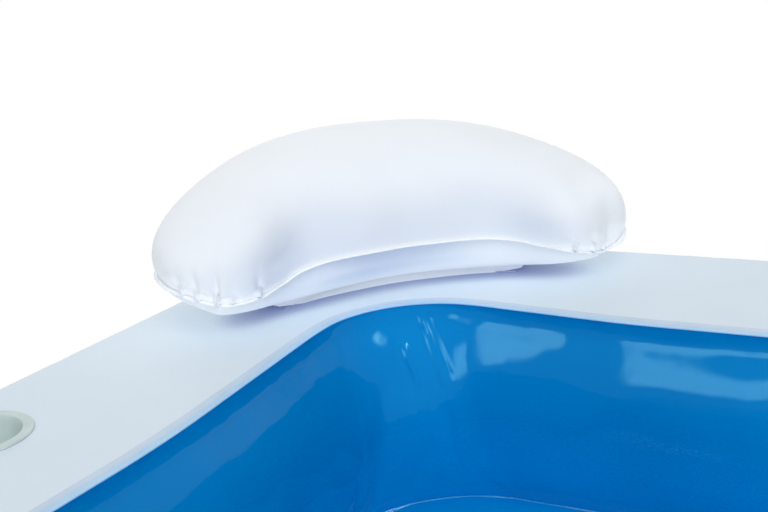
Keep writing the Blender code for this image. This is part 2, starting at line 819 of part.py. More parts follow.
def main():
    clear_scene()
    materials = {
        "white": vinyl("white_vinyl", (0.86, 0.88, 0.91), 0.45),
        "blue": vinyl("blue_vinyl", (0.0, 0.16, 0.50), 0.22),
        "floor": vinyl("floor_vinyl", (0.01, 0.20, 0.55), 0.30),
        "inner": vinyl("web_vinyl", (0.70, 0.76, 0.80), 0.40),
        "clear": vinyl("clear_vinyl", (0.74, 0.80, 0.82), 0.25),
    }
    blue = materials["blue"]
    base_inner = DECK_WIDTH - WELD_LIP / 2
    lip_corner = OUTER_CORNER + WELD_LIP
    floor_sheet(materials["floor"])
    flat_ring("base_panel", blue, FILM / 2, -WELD_LIP, base_inner, lip_corner, SEAM_CORNER)
    inner = materials["inner"]
    flat_ring("chamber_divider", inner, DIVIDER_HEIGHT, -WELD_LIP, DECK_WIDTH, lip_corner, SEAM_CORNER)
    low = FILM / 2 + STACK
    middle_low = DIVIDER_HEIGHT - STACK
    middle_high = DIVIDER_HEIGHT + STACK
    root_corner = SEAM_CORNER + WELD_LIP
    outer_corners = (OUTER_CORNER, OUTER_CORNER)
    lower_outer = wall_sheet("lower_outer_wall", blue, low, middle_low, 0.0, OUTER_BULGE, outer_corners)
    inner_corners = (root_corner, root_corner)
    lower_inner = wall_sheet(
        "lower_inner_wall", blue, low, middle_low, ROOT_INSET, LOWER_INNER_BULGE, inner_corners, out=-1,
    )
    seat_ports(lower_inner)
    upper_outer = upper_outer_wall(blue)
    wall_sheet(
        "upper_inner_wall", blue, middle_high, DECK_SHEET - STACK, ROOT_INSET, UPPER_INNER_BULGE,
        (root_corner, DECK_INNER_CORNER + WELD_LIP), (0.0, 1.0), out=-1,
    )
    web("lower_web", inner, FILM + GAP, DIVIDER_HEIGHT - FILM / 2 - GAP)
    web("upper_web", inner, DIVIDER_HEIGHT + FILM / 2 + GAP, DECK_HEIGHT - FILM - GAP)
    deck_panel(materials["white"])
    for side in cup_places():
        cup_holder(side, materials["clear"])
    upper_place = chamber_valve_place(middle_high, DECK_HEIGHT - SHOULDER - DECK_SKIRT, -1)
    lower_place = chamber_valve_place(low, middle_low, 1)
    valve_seat(upper_outer, "upper_chamber", upper_place)
    valve_seat(lower_outer, "lower_chamber", lower_place)
    valve("upper_chamber", upper_place, materials)
    valve("lower_chamber", lower_place, materials)
    for label, corner in CORNERS.items():
        seat_top(label, corner, blue)
        seat_front(label, corner, blue)
        upper = pillow_panel(label, corner, 1, materials["white"])
        pillow_panel(label, corner, -1, materials["white"])
        weld_patch(label, corner, materials["white"])
        place = pillow_valve_place(corner)
        valve_seat(upper, "headrest_" + label, place)
        valve("headrest_" + label, place, materials)
    drain(materials)


main()
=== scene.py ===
# An inflatable family pool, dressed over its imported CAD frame.
# Dictionaries hold millimetres in the frame of the CAD, and the meshes are in metres.

import json
import math
import random
import bmesh
import bpy
import numpy as np
from mathutils import Matrix, Vector, noise


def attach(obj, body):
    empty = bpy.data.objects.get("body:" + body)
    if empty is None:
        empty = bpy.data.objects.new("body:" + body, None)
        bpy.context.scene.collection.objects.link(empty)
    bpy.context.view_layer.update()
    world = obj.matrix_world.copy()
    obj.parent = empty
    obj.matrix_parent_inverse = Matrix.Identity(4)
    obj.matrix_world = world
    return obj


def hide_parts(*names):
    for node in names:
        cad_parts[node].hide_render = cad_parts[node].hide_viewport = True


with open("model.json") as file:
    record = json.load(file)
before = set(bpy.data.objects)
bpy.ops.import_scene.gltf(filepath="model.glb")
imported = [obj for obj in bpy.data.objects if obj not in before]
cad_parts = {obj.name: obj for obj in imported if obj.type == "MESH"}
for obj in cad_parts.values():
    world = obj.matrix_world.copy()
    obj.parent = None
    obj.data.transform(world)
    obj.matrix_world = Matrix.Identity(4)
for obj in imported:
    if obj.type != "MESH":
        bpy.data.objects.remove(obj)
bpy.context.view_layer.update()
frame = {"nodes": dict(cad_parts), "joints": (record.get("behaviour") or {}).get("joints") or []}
mm = 0.001


# Small tools for meshes

def gridFaces(rows, columns, ring=True, flip=False):
    row = np.arange(rows - 1)[:, None] * columns
    column = np.arange(columns if ring else columns - 1)[None]
    ahead = (column + 1) % columns
    quads = np.stack([row + column, row + ahead, row + ahead + columns, row + column + columns], -1)
    quads = quads.reshape(-1, 4)
    return quads[:, ::-1] if flip else quads


def addObject(name, data):
    added = bpy.data.objects.new(name, data)
    bpy.context.scene.collection.objects.link(added)
    return added


def makePiece(name, points, faces, materials, zones=None, body="pool", stands=(), slot=None, merge=False):
    mesh = bpy.data.meshes.new(name)
    mesh.from_pydata((np.asarray(points).reshape(-1, 3) * mm).tolist(), [], [list(map(int, f)) for f in faces])
    for material in materials:
        mesh.materials.append(material)
    if zones is not None:
        mesh.polygons.foreach_set("material_index", np.asarray(zones, dtype=np.int32))
    if merge:
        form = bmesh.new()
        form.from_mesh(mesh)
        bmesh.ops.remove_doubles(form, verts=form.verts, dist=0.02 * mm)
        form.to_mesh(mesh)
        form.free()
    mesh.shade_smooth()
    mesh.update()
    piece = addObject(name, mesh)
    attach(piece, body)
    if stands:
        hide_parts(*stands)
    return piece


def makeGridPiece(name, grid, materials, flip=False, **options):
    return makePiece(name, grid, gridFaces(*grid.shape[:2], flip=flip), materials, **options)


def gridNormals(grid, facing, ring=True):
    # facing is where the outside of the film looks, one vector for each point or one for all
    along = np.roll(grid, -1, axis=1) - np.roll(grid, 1, axis=1) if ring else np.gradient(grid, axis=1)
    normal = np.cross(along, np.gradient(grid, axis=0))
    normal = normal / np.maximum(np.linalg.norm(normal, axis=2, keepdims=True), 1e-9)
    side = np.sign((normal * facing).sum(2, keepdims=True))
    side[side == 0] = 1
    return normal * side


def softNoise(grid, size, seed=0, tall=1.0):
    # smooth values from about -1 to 1, size in mm, tall stretches them upwards
    shift = 31.7 * seed
    flat = grid.reshape(-1, 3) / size
    values = [noise.noise((x + shift, y - shift, z / tall + shift)) for x, y, z in flat.tolist()]
    return np.array(values).reshape(grid.shape[:2])


def gathers(grid, distance, seed, spacing, depth, reach):
    # small pleats that start square to a weld and fade with the distance from it
    flat = grid.copy()
    flat[:, :, 2] = 0
    pleats = softNoise(flat, spacing, seed)
    length = reach * (1 + 0.7 * softNoise(flat, spacing * 2.6, seed + 5))
    return depth * pleats * np.exp(-distance / np.maximum(length, 6))


def awayFrom(points, centre):
    # seen from above
    return np.hypot(points[..., 0] - centre[0], points[..., 1] - centre[1])


def blendStep(low, high, value):
    share = np.clip((value - low) / (high - low), 0, 1)
    return share * share * (3 - 2 * share)


# The ring wall: two stacked air chambers with a flat deck on top

ring = {
    "halfX": 1035, "halfY": 1000, "deckTop": 490, "divider": 241, "deckWidth": 286, "lip": 12,
    "outerBulge": 30, "upperBulge": 44, "lowerBulge": 18, "outerCorner": 360, "deckCorner": 122, "seamCorner": 155,
    # how far the corners swell out along X and Y, and over what run they do
    "lobe": (32, 18), "lobeRun": (340, 210),
    # the deck's rolled edge, its skirt and its weld on the outer wall
    "shoulder": 14, "skirt": 14, "sideWeld": 9, "film": 1.2, "gap": 0.35,
}
cornerSteps = 100
sideSteps = 190
cornerSigns = ((1, 1), (-1, 1), (-1, -1), (1, -1))
cornerNames = {(-1, 1): "back_left", (1, 1): "back_right", (-1, -1): "front_left", (1, -1): "front_right"}
stack = ring["film"] + ring["gap"]
deckSheet = ring["deckTop"] - ring["film"] / 2
rootInset = ring["deckWidth"] - ring["lip"]


def lobeFade(share):
    # full at the corner's end, straight in between, gone at the run's end, soft at both
    first, second, last = 0.15, 0.8, 1.2
    slope = 2 / (second + last - first)
    start = 1 - slope * share ** 2 / (2 * first)
    middle = 1 - slope * first / 2 - slope * (share - first)
    end = slope * (last - share) ** 2 / (2 * (last - second))
    value = np.where(share < first, start, np.where(share < second, middle, end))
    return np.where(share > last, 0.0, value)


def ringLine(inset, radius, lobe=0.0):
    # a rounded rectangle, counter-clockwise, with corners that may swell outwards
    reach = np.array((ring["halfX"], ring["halfY"])) - inset
    swell = np.array(ring["lobe"]) * lobe
    centre = reach + swell - radius
    line = []
    for quarter, signs in enumerate(np.array(cornerSigns)):
        angle = math.pi / 2 * (quarter + np.arange(cornerSteps + 1) / cornerSteps)
        line.append(signs * centre + np.stack([np.cos(angle), np.sin(angle)], 1) * radius)
        # the side after this corner runs along one axis and faces the other
        along, facing = quarter % 2, 1 - quarter % 2
        share = np.arange(1, sideSteps) / sideSteps
        away, run = 2 * centre[along] * share, ring["lobeRun"][facing]
        fade = lobeFade(away / run) + lobeFade((2 * centre[along] - away) / run)
        side = np.empty((len(share), 2))
        side[:, along] = signs[along] * centre[along] * (1 - 2 * share)
        side[:, facing] = signs[facing] * (reach[facing] + swell[facing] * fade)
        line.append(side)
    return np.concatenate(line)


def levelRow(line, height):
    return np.column_stack([line, np.full(len(line), height)])


def ringGrid(rows):
    # rows of (inset, radius, lobe, height)
    return np.array([levelRow(ringLine(inset, radius, lobe), height) for inset, radius, lobe, height in rows])


def bulgeAt(share, depth):
    return depth * 4 * share * (1 - share)


# Materials

def tone(code):
    # sRGB hex to linear
    channels = [int(code[k:k + 2], 16) / 255 for k in (1, 3, 5)]
    return (*[c / 12.92 if c <= 0.04045 else ((c + 0.055) / 1.055) ** 2.4 for c in channels], 1.0)


def addNode(tree, kind, settings=(), links=()):
    node = tree.nodes.new("ShaderNode" + kind)
    for key, value in dict(settings).items():
        if isinstance(key, int) or key in node.inputs:
            node.inputs[key].default_value = value
        else:
            setattr(node, key, value)
    for key, source in dict(links).items():
        tree.links.new(source, node.inputs[key])
    return node


def startMaterial(name, settings):
    material = bpy.data.materials.new(name)
    material.use_nodes = True
    tree = material.node_tree
    tree.nodes.clear()
    shader = addNode(tree, "BsdfPrincipled", settings)
    addNode(tree, "OutputMaterial", links={"Surface": shader.outputs[0]})
    place = addNode(tree, "TexCoord").outputs["Object"]
    return material, tree, shader, place


def addNoise(tree, place, size, detail, settings=()):
    # size in real mm
    return addNode(tree, "TexNoise", {"Scale": 1000 / size, "Detail": detail, **dict(settings)}, {"Vector": place})


def addRamp(tree, source, low, high):
    # low and high are a place on the noise and its colour
    ramp = addNode(tree, "ValToRGB", links={"Fac": source.outputs["Fac"]})
    for element, (position, colour) in zip(ramp.color_ramp.elements, (low, high)):
        element.position, element.color = position, colour
    return ramp.outputs["Color"]


def addRoughness(tree, shader, source, limits):
    rough = addNode(tree, "MapRange", {"From Min": 0.3, "From Max": 0.7, "To Min": limits[0], "To Max": limits[1]},
                    {"Value": source.outputs["Fac"]})
    tree.links.new(rough.outputs["Result"], shader.inputs["Roughness"])


def addTint(tree, value, limits, under, over):
    # the colour under where the value is low, and the node's colour over it where it is high
    share = addNode(tree, "MapRange", {"From Min": limits[0], "From Max": limits[1]}, {"Value": value})
    return addNode(tree, "Mix", {"data_type": "RGBA", 6: tone(under)}, {0: share.outputs["Result"], 7: over.outputs[2]})


def vinylFilm(name, colour, shade, ior, specular, **changes):
    # Calendered PVC film, rolled flat and then blown up. It gives a smooth even colour with a slight
    # cast from patch to patch, a fine roller grain, and slow waves that break up its reflections.
    look = {**filmLook, **changes}
    material, tree, shader, place = startMaterial(name, {
        "IOR": ior, "Specular IOR Level": specular, "Specular Tint": tone(look["tint"]),
    })
    patches = addNoise(tree, place, look["patchSize"], 3.0, {"Roughness": 0.5})
    patches = addRamp(tree, patches, (0.35, tone(shade)), (0.65, tone(colour)))
    specks = addNoise(tree, place, look["speckSize"], 2.0)
    specks = addRamp(tree, specks, (0.3, (look["speckle"],) * 3 + (1.0,)), (0.7, (1.0, 1.0, 1.0, 1.0)))
    mixed = addNode(tree, "Mix", {"data_type": "RGBA", "blend_type": "MULTIPLY", 0: 1.0}, {6: patches, 7: specks})
    # painted shade and reflected light: from footFrom up to footTo the colour goes from the foot's darker, bluer tone
    # to the film's own
    if "foot" in look:
        height = addNode(tree, "SeparateXYZ", links={"Vector": place})
        mixed = addTint(tree, height.outputs["Z"], (look["footFrom"] * mm, look["footTo"] * mm), look["foot"], mixed)
    if "crease" in look:
        # painted shade: where two films meet, ambient occlusion darkens the colour to a thin dark line that stands in
        # for their contact shadow
        near = addNode(tree, "AmbientOcclusion", {"samples": 6, "Distance": look["creaseReach"] * mm})
        mixed = addTint(tree, near.outputs["AO"], (0.10, look["creaseOpen"]), look["crease"], mixed)
    tree.links.new(mixed.outputs[2], shader.inputs["Base Color"])
    handling = addNoise(tree, place, look["handleSize"], 4.0, {"Roughness": 0.6, "Distortion": 0.6})
    addRoughness(tree, shader, handling, look["roughness"])
    grain = addNode(tree, "TexVoronoi", {"Scale": 1000 / look["grainSize"], "feature": "SMOOTH_F1"}, {"Vector": place})
    fine = addNode(tree, "Bump", {"Strength": look["grainStrength"], "Distance": 0.0002},
                   {"Height": grain.outputs["Distance"]})
    waves = addNoise(tree, place, look["waveSize"], 2.0, {"Distortion": 0.8})
    bump = addNode(tree, "Bump", {"Strength": look["waveStrength"], "Distance": look["waveDepth"] * mm},
                   {"Height": waves.outputs["Fac"], "Normal": fine.outputs["Normal"]})
    tree.links.new(bump.outputs["Normal"], shader.inputs["Normal"])
    return material


# What a film has unless it says otherwise; sizes and depths in mm.
filmLook = {
    "tint": "#FFFFFF", "speckSize": 2, "speckle": 0.95, "handleSize": 30, "roughness": (0.42, 0.54),
    "grainSize": 1.6, "waveSize": 30, "waveStrength": 0.3, "waveDepth": 0.8,
}
# Matt white film of the deck. The grain is about 0.6 mm on the real film, drawn at 1.6 mm to show. Where a headrest
# rests on it, painted shade darkens its colour in a thin line.
whiteFilm = vinylFilm(
    "whitePvcFilm", "#D3E0EA", "#CEDCE7", 1.53, 0.35, patchSize=320, speckSize=3, speckle=0.985, handleSize=90,
    grainStrength=0.10, waveSize=120, waveStrength=0.25, waveDepth=1.2, crease="#7484B4", creaseReach=27,
    creaseOpen=0.58)
# The headrests' film is a little whiter and softer, with the same roller grain. Near the deck its foot is painted a
# shade darker and bluer: painted shade and light thrown back from the deck.
# Its tight creases and puckers get the same painted shade, darkened by ambient occlusion.
cushionFilm = vinylFilm(
    "headrestPvcFilm", "#EBF0F5", "#E8EDF3", 1.53, 0.30, patchSize=240, speckSize=3, speckle=0.99, handleSize=70,
    roughness=(0.46, 0.58), grainStrength=0.08, waveSize=60, waveStrength=0.2, foot="#E6EDF4", footFrom=492,
    footTo=522, crease="#9BA9CB", creaseReach=6, creaseOpen=0.40)
# Where the deck's film is melted onto the blue one, the blue shines through and the grain is pressed flat.
meltedWhite = vinylFilm(
    "weldedWhitePvc", "#A6CFEE", "#9FCAEB", 1.53, 0.4, patchSize=40, speckle=0.97, roughness=(0.34, 0.46),
    grainSize=2.4, grainStrength=0.25, waveDepth=0.5)
# Beside that weld the white film is only pressed and matt. Its colour, a little greyer than the deck, is painted shade
# for the step from the weld up to the deck.
shadedStepWhite = vinylFilm(
    "shadedStepWhitePvc", "#BFD1E4", "#B8CBDF", 1.53, 0.35, patchSize=60, speckle=0.98, roughness=(0.40, 0.50),
    grainStrength=0.15, waveSize=40, waveDepth=0.5)
# Glossy blue film, blown tight: saturated colour, long soft reflections that wander with its slow waves.
blueFilm = vinylFilm(
    "bluePvcFilm", "#0085CB", "#007CC1", 1.45, 0.16, tint="#A0FFFF", patchSize=380, speckSize=4, speckle=0.985,
    handleSize=140, roughness=(0.04, 0.09), grainSize=2.0, grainStrength=0.01, waveSize=70, waveStrength=0.5)
# The welded edge of the blue films is pressed thin. Its paler blue is painted highlight, as if light fell on the flat
# lip.
weldHighlightBlue = vinylFilm(
    "weldHighlightBluePvc", "#2FA4E4", "#1D98DC", 1.45, 0.5, patchSize=40, roughness=(0.22, 0.34), grainSize=2.4,
    grainStrength=0.3, waveSize=26, waveStrength=0.4, waveDepth=0.6)
# The film between the chambers shows only as its cut edge, a thin pale line.
cutEdge = vinylFilm(
    "dividerPvcEdge", "#8CCBF4", "#74BFEF", 1.45, 0.5, patchSize=60, roughness=(0.3, 0.4), grainSize=2.4,
    grainStrength=0.2, waveDepth=0.4)
# The bare floor film is the same blue, duller from being walked on.
floorFilm = vinylFilm(
    "floorPvcSheet", "#0089CF", "#007FC4", 1.45, 0.4, patchSize=260, speckSize=4, speckle=0.96, handleSize=60,
    roughness=(0.22, 0.36), grainSize=2.0, grainStrength=0.06, waveSize=90, waveStrength=0.5, waveDepth=1.5)
# Unprinted film for the webs inside the chambers, matt and slightly grey.
webFilm = vinylFilm(
    "plainPvcWeb", "#CDD9E2", "#C5D3DE", 1.53, 0.35, patchSize=200, speckSize=3, speckle=0.97, handleSize=60,
    roughness=(0.45, 0.6), grainStrength=0.1, waveSize=60)


def mouldedPvc(name, colour, shade, depth, cloudSize, flowSize, skinSize, roughness):
    # Soft PVC, injection moulded: an even, slightly cloudy body, satin skin with a faint flow pattern.
    material, tree, shader, place = startMaterial(name, {
        "IOR": 1.53, "Specular IOR Level": 0.45, "Subsurface Weight": depth,
        "Subsurface Radius": (0.004, 0.005, 0.005), "Subsurface Scale": 1.0,
    })
    cloud = addNoise(tree, place, cloudSize, 3.0)
    tree.links.new(addRamp(tree, cloud, (0.35, tone(shade)), (0.65, tone(colour))), shader.inputs["Base Color"])
    addRoughness(tree, shader, addNoise(tree, place, flowSize, 3.0, {"Distortion": 1.2}), roughness)
    skin = addNoise(tree, place, skinSize, 2.0)
    bump = addNode(tree, "Bump", {"Strength": 0.15, "Distance": 0.0002}, {"Height": skin.outputs["Fac"]})
    tree.links.new(bump.outputs["Normal"], shader.inputs["Normal"])
    return material


# Cup holders: milky grey-green, a little light passes through the wall.
milkyPvc = mouldedPvc("mouldedMilkyPvc", "#C3D2D2", "#B5C6C6", 0.15, 40, 14, 1.5, (0.28, 0.4))
# Valves: clear-white flexible PVC, its skin picks up a soft shine.
valvePvc = mouldedPvc("mouldedValvePvc", "#DDE5E8", "#D2DCE0", 0.25, 9, 4, 0.8, (0.22, 0.34))
# Drain: the same resin in opaque white.
drainPvc = mouldedPvc("mouldedWhitePvc", "#E6EAEE", "#DEE4E9", 0.05, 20, 8, 1.0, (0.3, 0.42))
print("materials made")


# Deck: flat white film with a melted lip inside and a rolled shoulder outside

cups = {
    "radius": 50, "floorRadius": 41, "depth": 100, "wall": 1.4, "rim": 12, "rimHeight": 1.8, "sides": 96, "hole": 55,
    "centres": {"left": (-953, 214), "right": (953, -214)},
    # the deck is level near the rim, dips in a groove beside it and sinks a little under it
    "levelFrom": 95, "levelTo": 70, "groove": 1.5, "grooveRadius": 71, "grooveWidth": 6, "sink": 0.6,
}
# the arc that a headrest lies along, in insets from the outer edges
spineCentre, spineRadius = (417, 384), 275
deckLook = {
    "lipWidth": 8.8, "lipSink": 0.9, "waves": 1.1, "waveSize": 210, "ripple": 0.35, "rippleSize": 45,
    "shoulderGather": 1.0, "lipGather": 0.5, "stations": 40, "shoulderRows": 8,
    # rows of faces that are melted, then rows over the step up to the deck that are painted with its shade
    "meltedRows": 8, "shadedStepRows": 4,
    # the deck is calm under a headrest: beside its spine, and how far past the spine's centre
    "restFrom": 110, "restTo": 70, "restPast": 80,
}


def openHole(points, faces, zones, centre, radius):
    # faces wholly inside the circle go, and what is left is pulled out to a clean round edge
    away = awayFrom(points, centre)
    inside = away < radius
    keep = ~inside[faces].all(axis=1)
    faces, zones = faces[keep], zones[keep]
    for axis in (0, 1):
        pulled = centre[axis] + (points[:, axis] - centre[axis]) * radius / np.maximum(away, 1e-6)
        points[:, axis] = np.where(inside, pulled, points[:, axis])
    return points, faces, zones


def deckRows():
    # from the weld lip at the pool's edge outwards, round the shoulder and down the skirt, and how far each
    # row lies from the inner edge
    width, shoulder = ring["deckWidth"] - ring["shoulder"], ring["shoulder"]
    lip, sink, count = deckLook["lipWidth"], deckLook["lipSink"], deckLook["stations"]
    inner = ringLine(ring["deckWidth"], ring["deckCorner"], 1.0)
    outer = ringLine(shoulder, ring["outerCorner"] - shoulder)
    edge = ((0.3, -1.9), (-0.15, -1.5), (-0.25, -0.9), (0.0, -0.5), (0.7, -0.35))
    spots = [(distance, height - sink * 0.4) for distance, height in edge]
    spots += [(lip * k / 4, -sink) for k in (1, 2, 3)]
    spots += [(lip, -sink - 0.35), (lip + 0.7, -0.4), (lip + 1.8, 0.0), (lip + 4, 0.15)]
    spots += [(lip + 10 + (width - lip - 10) * k / count, 0.2) for k in range(count + 1)]
    rows = [levelRow(inner + (outer - inner) * distance / width, ring["deckTop"] + height)
            for distance, height in spots]
    for step in range(1, deckLook["shoulderRows"] + 1):
        turn = math.pi / 2 * step / deckLook["shoulderRows"]
        inset = shoulder * (1 - math.sin(turn))
        height = ring["deckTop"] + 0.2 - shoulder * (1 - math.cos(turn))
        rows.append(levelRow(ringLine(inset, ring["outerCorner"] - inset), height))
    for drop, inset in ((0.35, -0.3), (0.7, -0.4), (1.0, -0.3), (1.0, 0.8)):
        height = deckSheet - shoulder - ring["skirt"] * drop
        rows.append(levelRow(ringLine(inset, ring["outerCorner"] - inset), height))
    distance = [distance for distance, _ in spots]
    return np.array(rows), np.array(distance + [width] * (len(rows) - len(spots)))[:, None]


def deckLift(grid, distance):
    look, lip, width = deckLook, deckLook["lipWidth"], ring["deckWidth"] - ring["shoulder"]
    flat = blendStep(lip + 2, lip + 60, distance) * blendStep(width + 1, width - 40, distance)
    lift = flat * (look["waves"] * softNoise(grid, look["waveSize"], 3)
                   + look["ripple"] * softNoise(grid, look["rippleSize"], 4))
    # rows of the shoulder lie about 4 mm apart
    fromShoulder = np.abs(np.arange(len(grid)) - (len(grid) - 5))[:, None] * 4.0
    fromShoulder = np.where(distance < width - 30, 200.0, fromShoulder)
    lift = lift + gathers(grid, fromShoulder, 7, 34, look["shoulderGather"], 22)
    lift = lift + gathers(grid, np.abs(distance - lip - 4), 8, 26, look["lipGather"], 16) * (distance > lip)
    away = (ring["halfX"], ring["halfY"]) - np.abs(grid[:, :, :2]) - spineCentre
    calm = blendStep(look["restFrom"], look["restTo"], np.abs(np.hypot(away[:, :, 0], away[:, :, 1]) - spineRadius))
    lift = lift * (1 - 0.9 * calm * (away.max(2) < look["restPast"]))
    for centre in cups["centres"].values():
        away = awayFrom(grid, centre)
        groove = cups["groove"] * np.exp(-((away - cups["grooveRadius"]) / cups["grooveWidth"]) ** 2)
        lift = lift * (1 - blendStep(cups["levelFrom"], cups["levelTo"], away)) - groove
        lift = lift - cups["sink"] * blendStep(75, 60, away)
    return lift


def makeDeck():
    grid, distance = deckRows()
    facing = np.zeros(grid.shape) + (0, 0, 1)
    # the last rows, round the shoulder and down the skirt, look outwards too
    facing[-10:, :, :2] = grid[-10:, :, :2] / 1000
    grid = grid + gridNormals(grid, facing) * deckLift(grid, distance)[:, :, None]
    points, faces = grid.reshape(-1, 3), gridFaces(*grid.shape[:2])
    row, melted = np.arange(len(grid) - 1), deckLook["meltedRows"]
    # the melted lip, then the step beside it in painted shade, then the deck
    zones = np.where(row < melted, 1, np.where(row < melted + deckLook["shadedStepRows"], 2, 0))
    zones = np.repeat(zones, grid.shape[1])
    for centre in cups["centres"].values():
        points, faces, zones = openHole(points, faces, zones, centre, cups["hole"])
    return makePiece("deckFilm", points, faces[:, ::-1], (whiteFilm, meltedWhite, shadedStepWhite), zones,
                     stands=("deck_panel",), slot="white_vinyl")


makeDeck()
print("deck made")


# Inner walls: blue film that bulges into the pool between two welds

cornerFolds = [
    # from, to, half width, rise (out of the film is positive)
    ((714, 716, 474), (675, 692, 402), 3.4, 2.8),
    ((706, 719, 474), (668, 697, 408), 4.0, -2.0),
    ((724, 686, 446), (700, 676, 402), 4.5, 2.8),
    ((733, 680, 452), (709, 668, 398), 6.0, -2.0),
    ((722, 640, 420), (744, 612, 262), 12, -2.6),
    ((736, 600, 380), (742, 590, 255), 9, 1.6),
    ((668, 682, 366), (664, 688, 285), 8, -2.2),
    ((684, 676, 350), (676, 684, 262), 9, 1.8),
    ((722, 650, 330), (700, 664, 262), 9, -2.2),
    ((690, 672, 330), (706, 660, 266), 9, -1.8),
    ((640, 706, 300), (600, 716, 250), 9, 1.2),
    ((745, 560, 300), (738, 520, 250), 10, 1.4),
]
wallLook = {
    "rows": 76, "waves": 2.2, "waveSize": 230, "ripple": 0.55, "rippleSize": 60, "gatherTop": 1.5,
    "gatherLow": 1.2, "spacing": 24, "reach": 24, "diagonal": 2.2, "diagonalSize": 95,
    # right under the deck the film stays close to the lip: over this height, in full from this one up
    "snugReach": 45, "snugFull": 8,
}


def foldLift(grid, folds):
    # each fold is a soft ridge or groove along a straight run, the same in all four corners
    spot = np.abs(grid)
    spot[:, :, 2] = grid[:, :, 2]
    lift = np.zeros(grid.shape[:2])
    for start, end, width, rise in folds:
        start, end = np.array(start, float), np.array(end, float)
        run = end - start
        share = np.clip(((spot - start) @ run) / (run @ run), 0, 1)
        near = np.linalg.norm(spot - start - share[:, :, None] * run, axis=2)
        lift += rise * np.exp(-(near / width) ** 2) * np.sin(math.pi * (0.12 + 0.76 * share)) ** 0.6
    return lift


def wallGrid(low, high, inset, depth, radii, lobes, out, rows, snug=0):
    # lip, film from weld to weld, lip
    lip = inset - out * ring["lip"]
    lines = [(lip, radii[0] + out * ring["lip"], lobes[0], low)]
    for step in range(rows + 1):
        # the rows lie closer near both welds
        share = 0.5 - 0.5 * math.cos(math.pi * (0.06 + 0.88 * step / rows))
        share = (share - 0.0089) / (1 - 0.0178) if 0 < step < rows else step / rows
        nearTop = blendStep(wallLook["snugReach"], wallLook["snugFull"], (1 - share) * (high - low))
        stand = out * (bulgeAt(share, depth) ** 3 + (snug * nearTop) ** 3) ** (1 / 3)
        radius = radii[0] + (radii[1] - radii[0]) * share
        lobe = lobes[0] + (lobes[1] - lobes[0]) * share
        lines.append((inset - stand, radius + stand, lobe, low + (high - low) * share))
    lines.append((lip, radii[1] + out * ring["lip"], lobes[1], high))
    return ringGrid(lines)


def dressWall(grid, out, look, seed, folds=()):
    normal = gridNormals(grid, grid * (out, out, 0))
    height = grid[:, :, 2]
    low, high = height.min(), height.max()
    share = (height - low) / (high - low)
    free = np.clip(4 * share * (1 - share), 0, 1) ** 0.7
    lift = look["waves"] * free * softNoise(grid, look["waveSize"], seed, 0.8)
    lift += look["ripple"] * free * softNoise(grid, look["rippleSize"], seed + 1, 1.6)
    lift += gathers(grid, high - height, seed + 2, look["spacing"], look["gatherTop"], look["reach"])
    lift += gathers(grid, height - low, seed + 3, look["spacing"], look["gatherLow"], look["reach"])
    # long slanting tension waves that run from the corners down the walls
    slant = grid + 0.9 * height[:, :, None] * np.sign(grid)
    slant[:, :, 2] = 0.0
    lift += look["diagonal"] * free * softNoise(slant, look["diagonalSize"], seed + 4)
    if folds:
        lift += foldLift(grid, folds)
    lift[0] = lift[-1] = 0
    lift[1] *= 0.3
    lift[-2] *= 0.3
    return grid + normal * lift[:, :, None]


def weldZones(grid, top=True):
    # the first and the last row of faces are the melted welds, coloured in their paler painted highlight
    row = np.repeat(np.arange(len(grid) - 1), grid.shape[1])
    return ((row == 0) | ((row == len(grid) - 2) & top)).astype(int)


def makeInnerWall(name, node, grid):
    return makeGridPiece(name, grid, (blueFilm, weldHighlightBlue), flip=True, zones=weldZones(grid), stands=(node,),
                         slot="blue_vinyl")


lowSheet = ring["film"] / 2
rootCorner = ring["seamCorner"] + ring["lip"]
middleLow, middleHigh = ring["divider"] - stack, ring["divider"] + stack
upperInner = wallGrid(middleHigh, deckSheet - stack, rootInset, ring["upperBulge"],
                      (rootCorner, ring["deckCorner"] + ring["lip"]), (0.0, 1.0), -1, wallLook["rows"],
                      ring["lip"] - 1.2)
makeInnerWall("upperInnerFilm", "upper_inner_wall", dressWall(upperInner, -1, wallLook, 11, cornerFolds))
lowerInner = wallGrid(lowSheet + stack, middleLow, rootInset, ring["lowerBulge"], (rootCorner, rootCorner),
                      (0.0, 0.0), -1, 30)
lowerInner = dressWall(lowerInner, -1, {**wallLook, "waves": 1.2, "diagonal": 0.8}, 21)
makeInnerWall("lowerInnerFilm", "lower_inner_wall", lowerInner)
print("inner walls made")


# Valves: a flange, a stem that slides, a cap on a strap and a flap

valveLook = {
    "seatRadius": 19, "hole": 12, "flangeRadius": 17, "flangeThick": 1.2, "holeRadius": 8.5,
    "bore": 5.0, "stemWall": 2.8, "below": 20, "above": 4.0, "bead": 1.8, "beadHeight": 2.5,
    "strapWidth": 6, "strapReach": 3.7, "strapThick": 1.3, "capRim": 0.8, "capThick": 1.6,
    "plugLength": 4.6, "plugClear": 0.7, "plugTaper": 0.4, "flapThick": 0.8, "flapTab": 2.0,
    "tabHalf": 2.4, "tabReach": 3.2,
    # the cap's hinge in the valve's own frame, and how far round and how deep a film levels to its seat
    "hinge": (-11.5, 0, 4.175), "seatReach": 34, "seatDepth": 60,
}


def valvePlaces():
    # each valve's own frame, from the joints of the CAD: Z slides out, the cap turns about -Y
    joints = {joint["name"]: joint for joint in frame["joints"]}
    found = {}
    for name, joint in joints.items():
        if not name.endswith("_stem_slide"):
            continue
        label = name.removesuffix("_stem_slide")
        hinge = joints[label + "_cap_hinge"]
        z, y = Vector(joint["axis"]).normalized(), -Vector(hinge["axis"]).normalized()
        turn = Matrix((y.cross(z), y, z)).transposed()
        pos = Vector(hinge.get("pos_m") or hinge.get("pos"))
        found[label] = Matrix.Translation(pos - turn @ (Vector(valveLook["hinge"]) * mm)) @ turn.to_4x4()
    return found


places = valvePlaces()


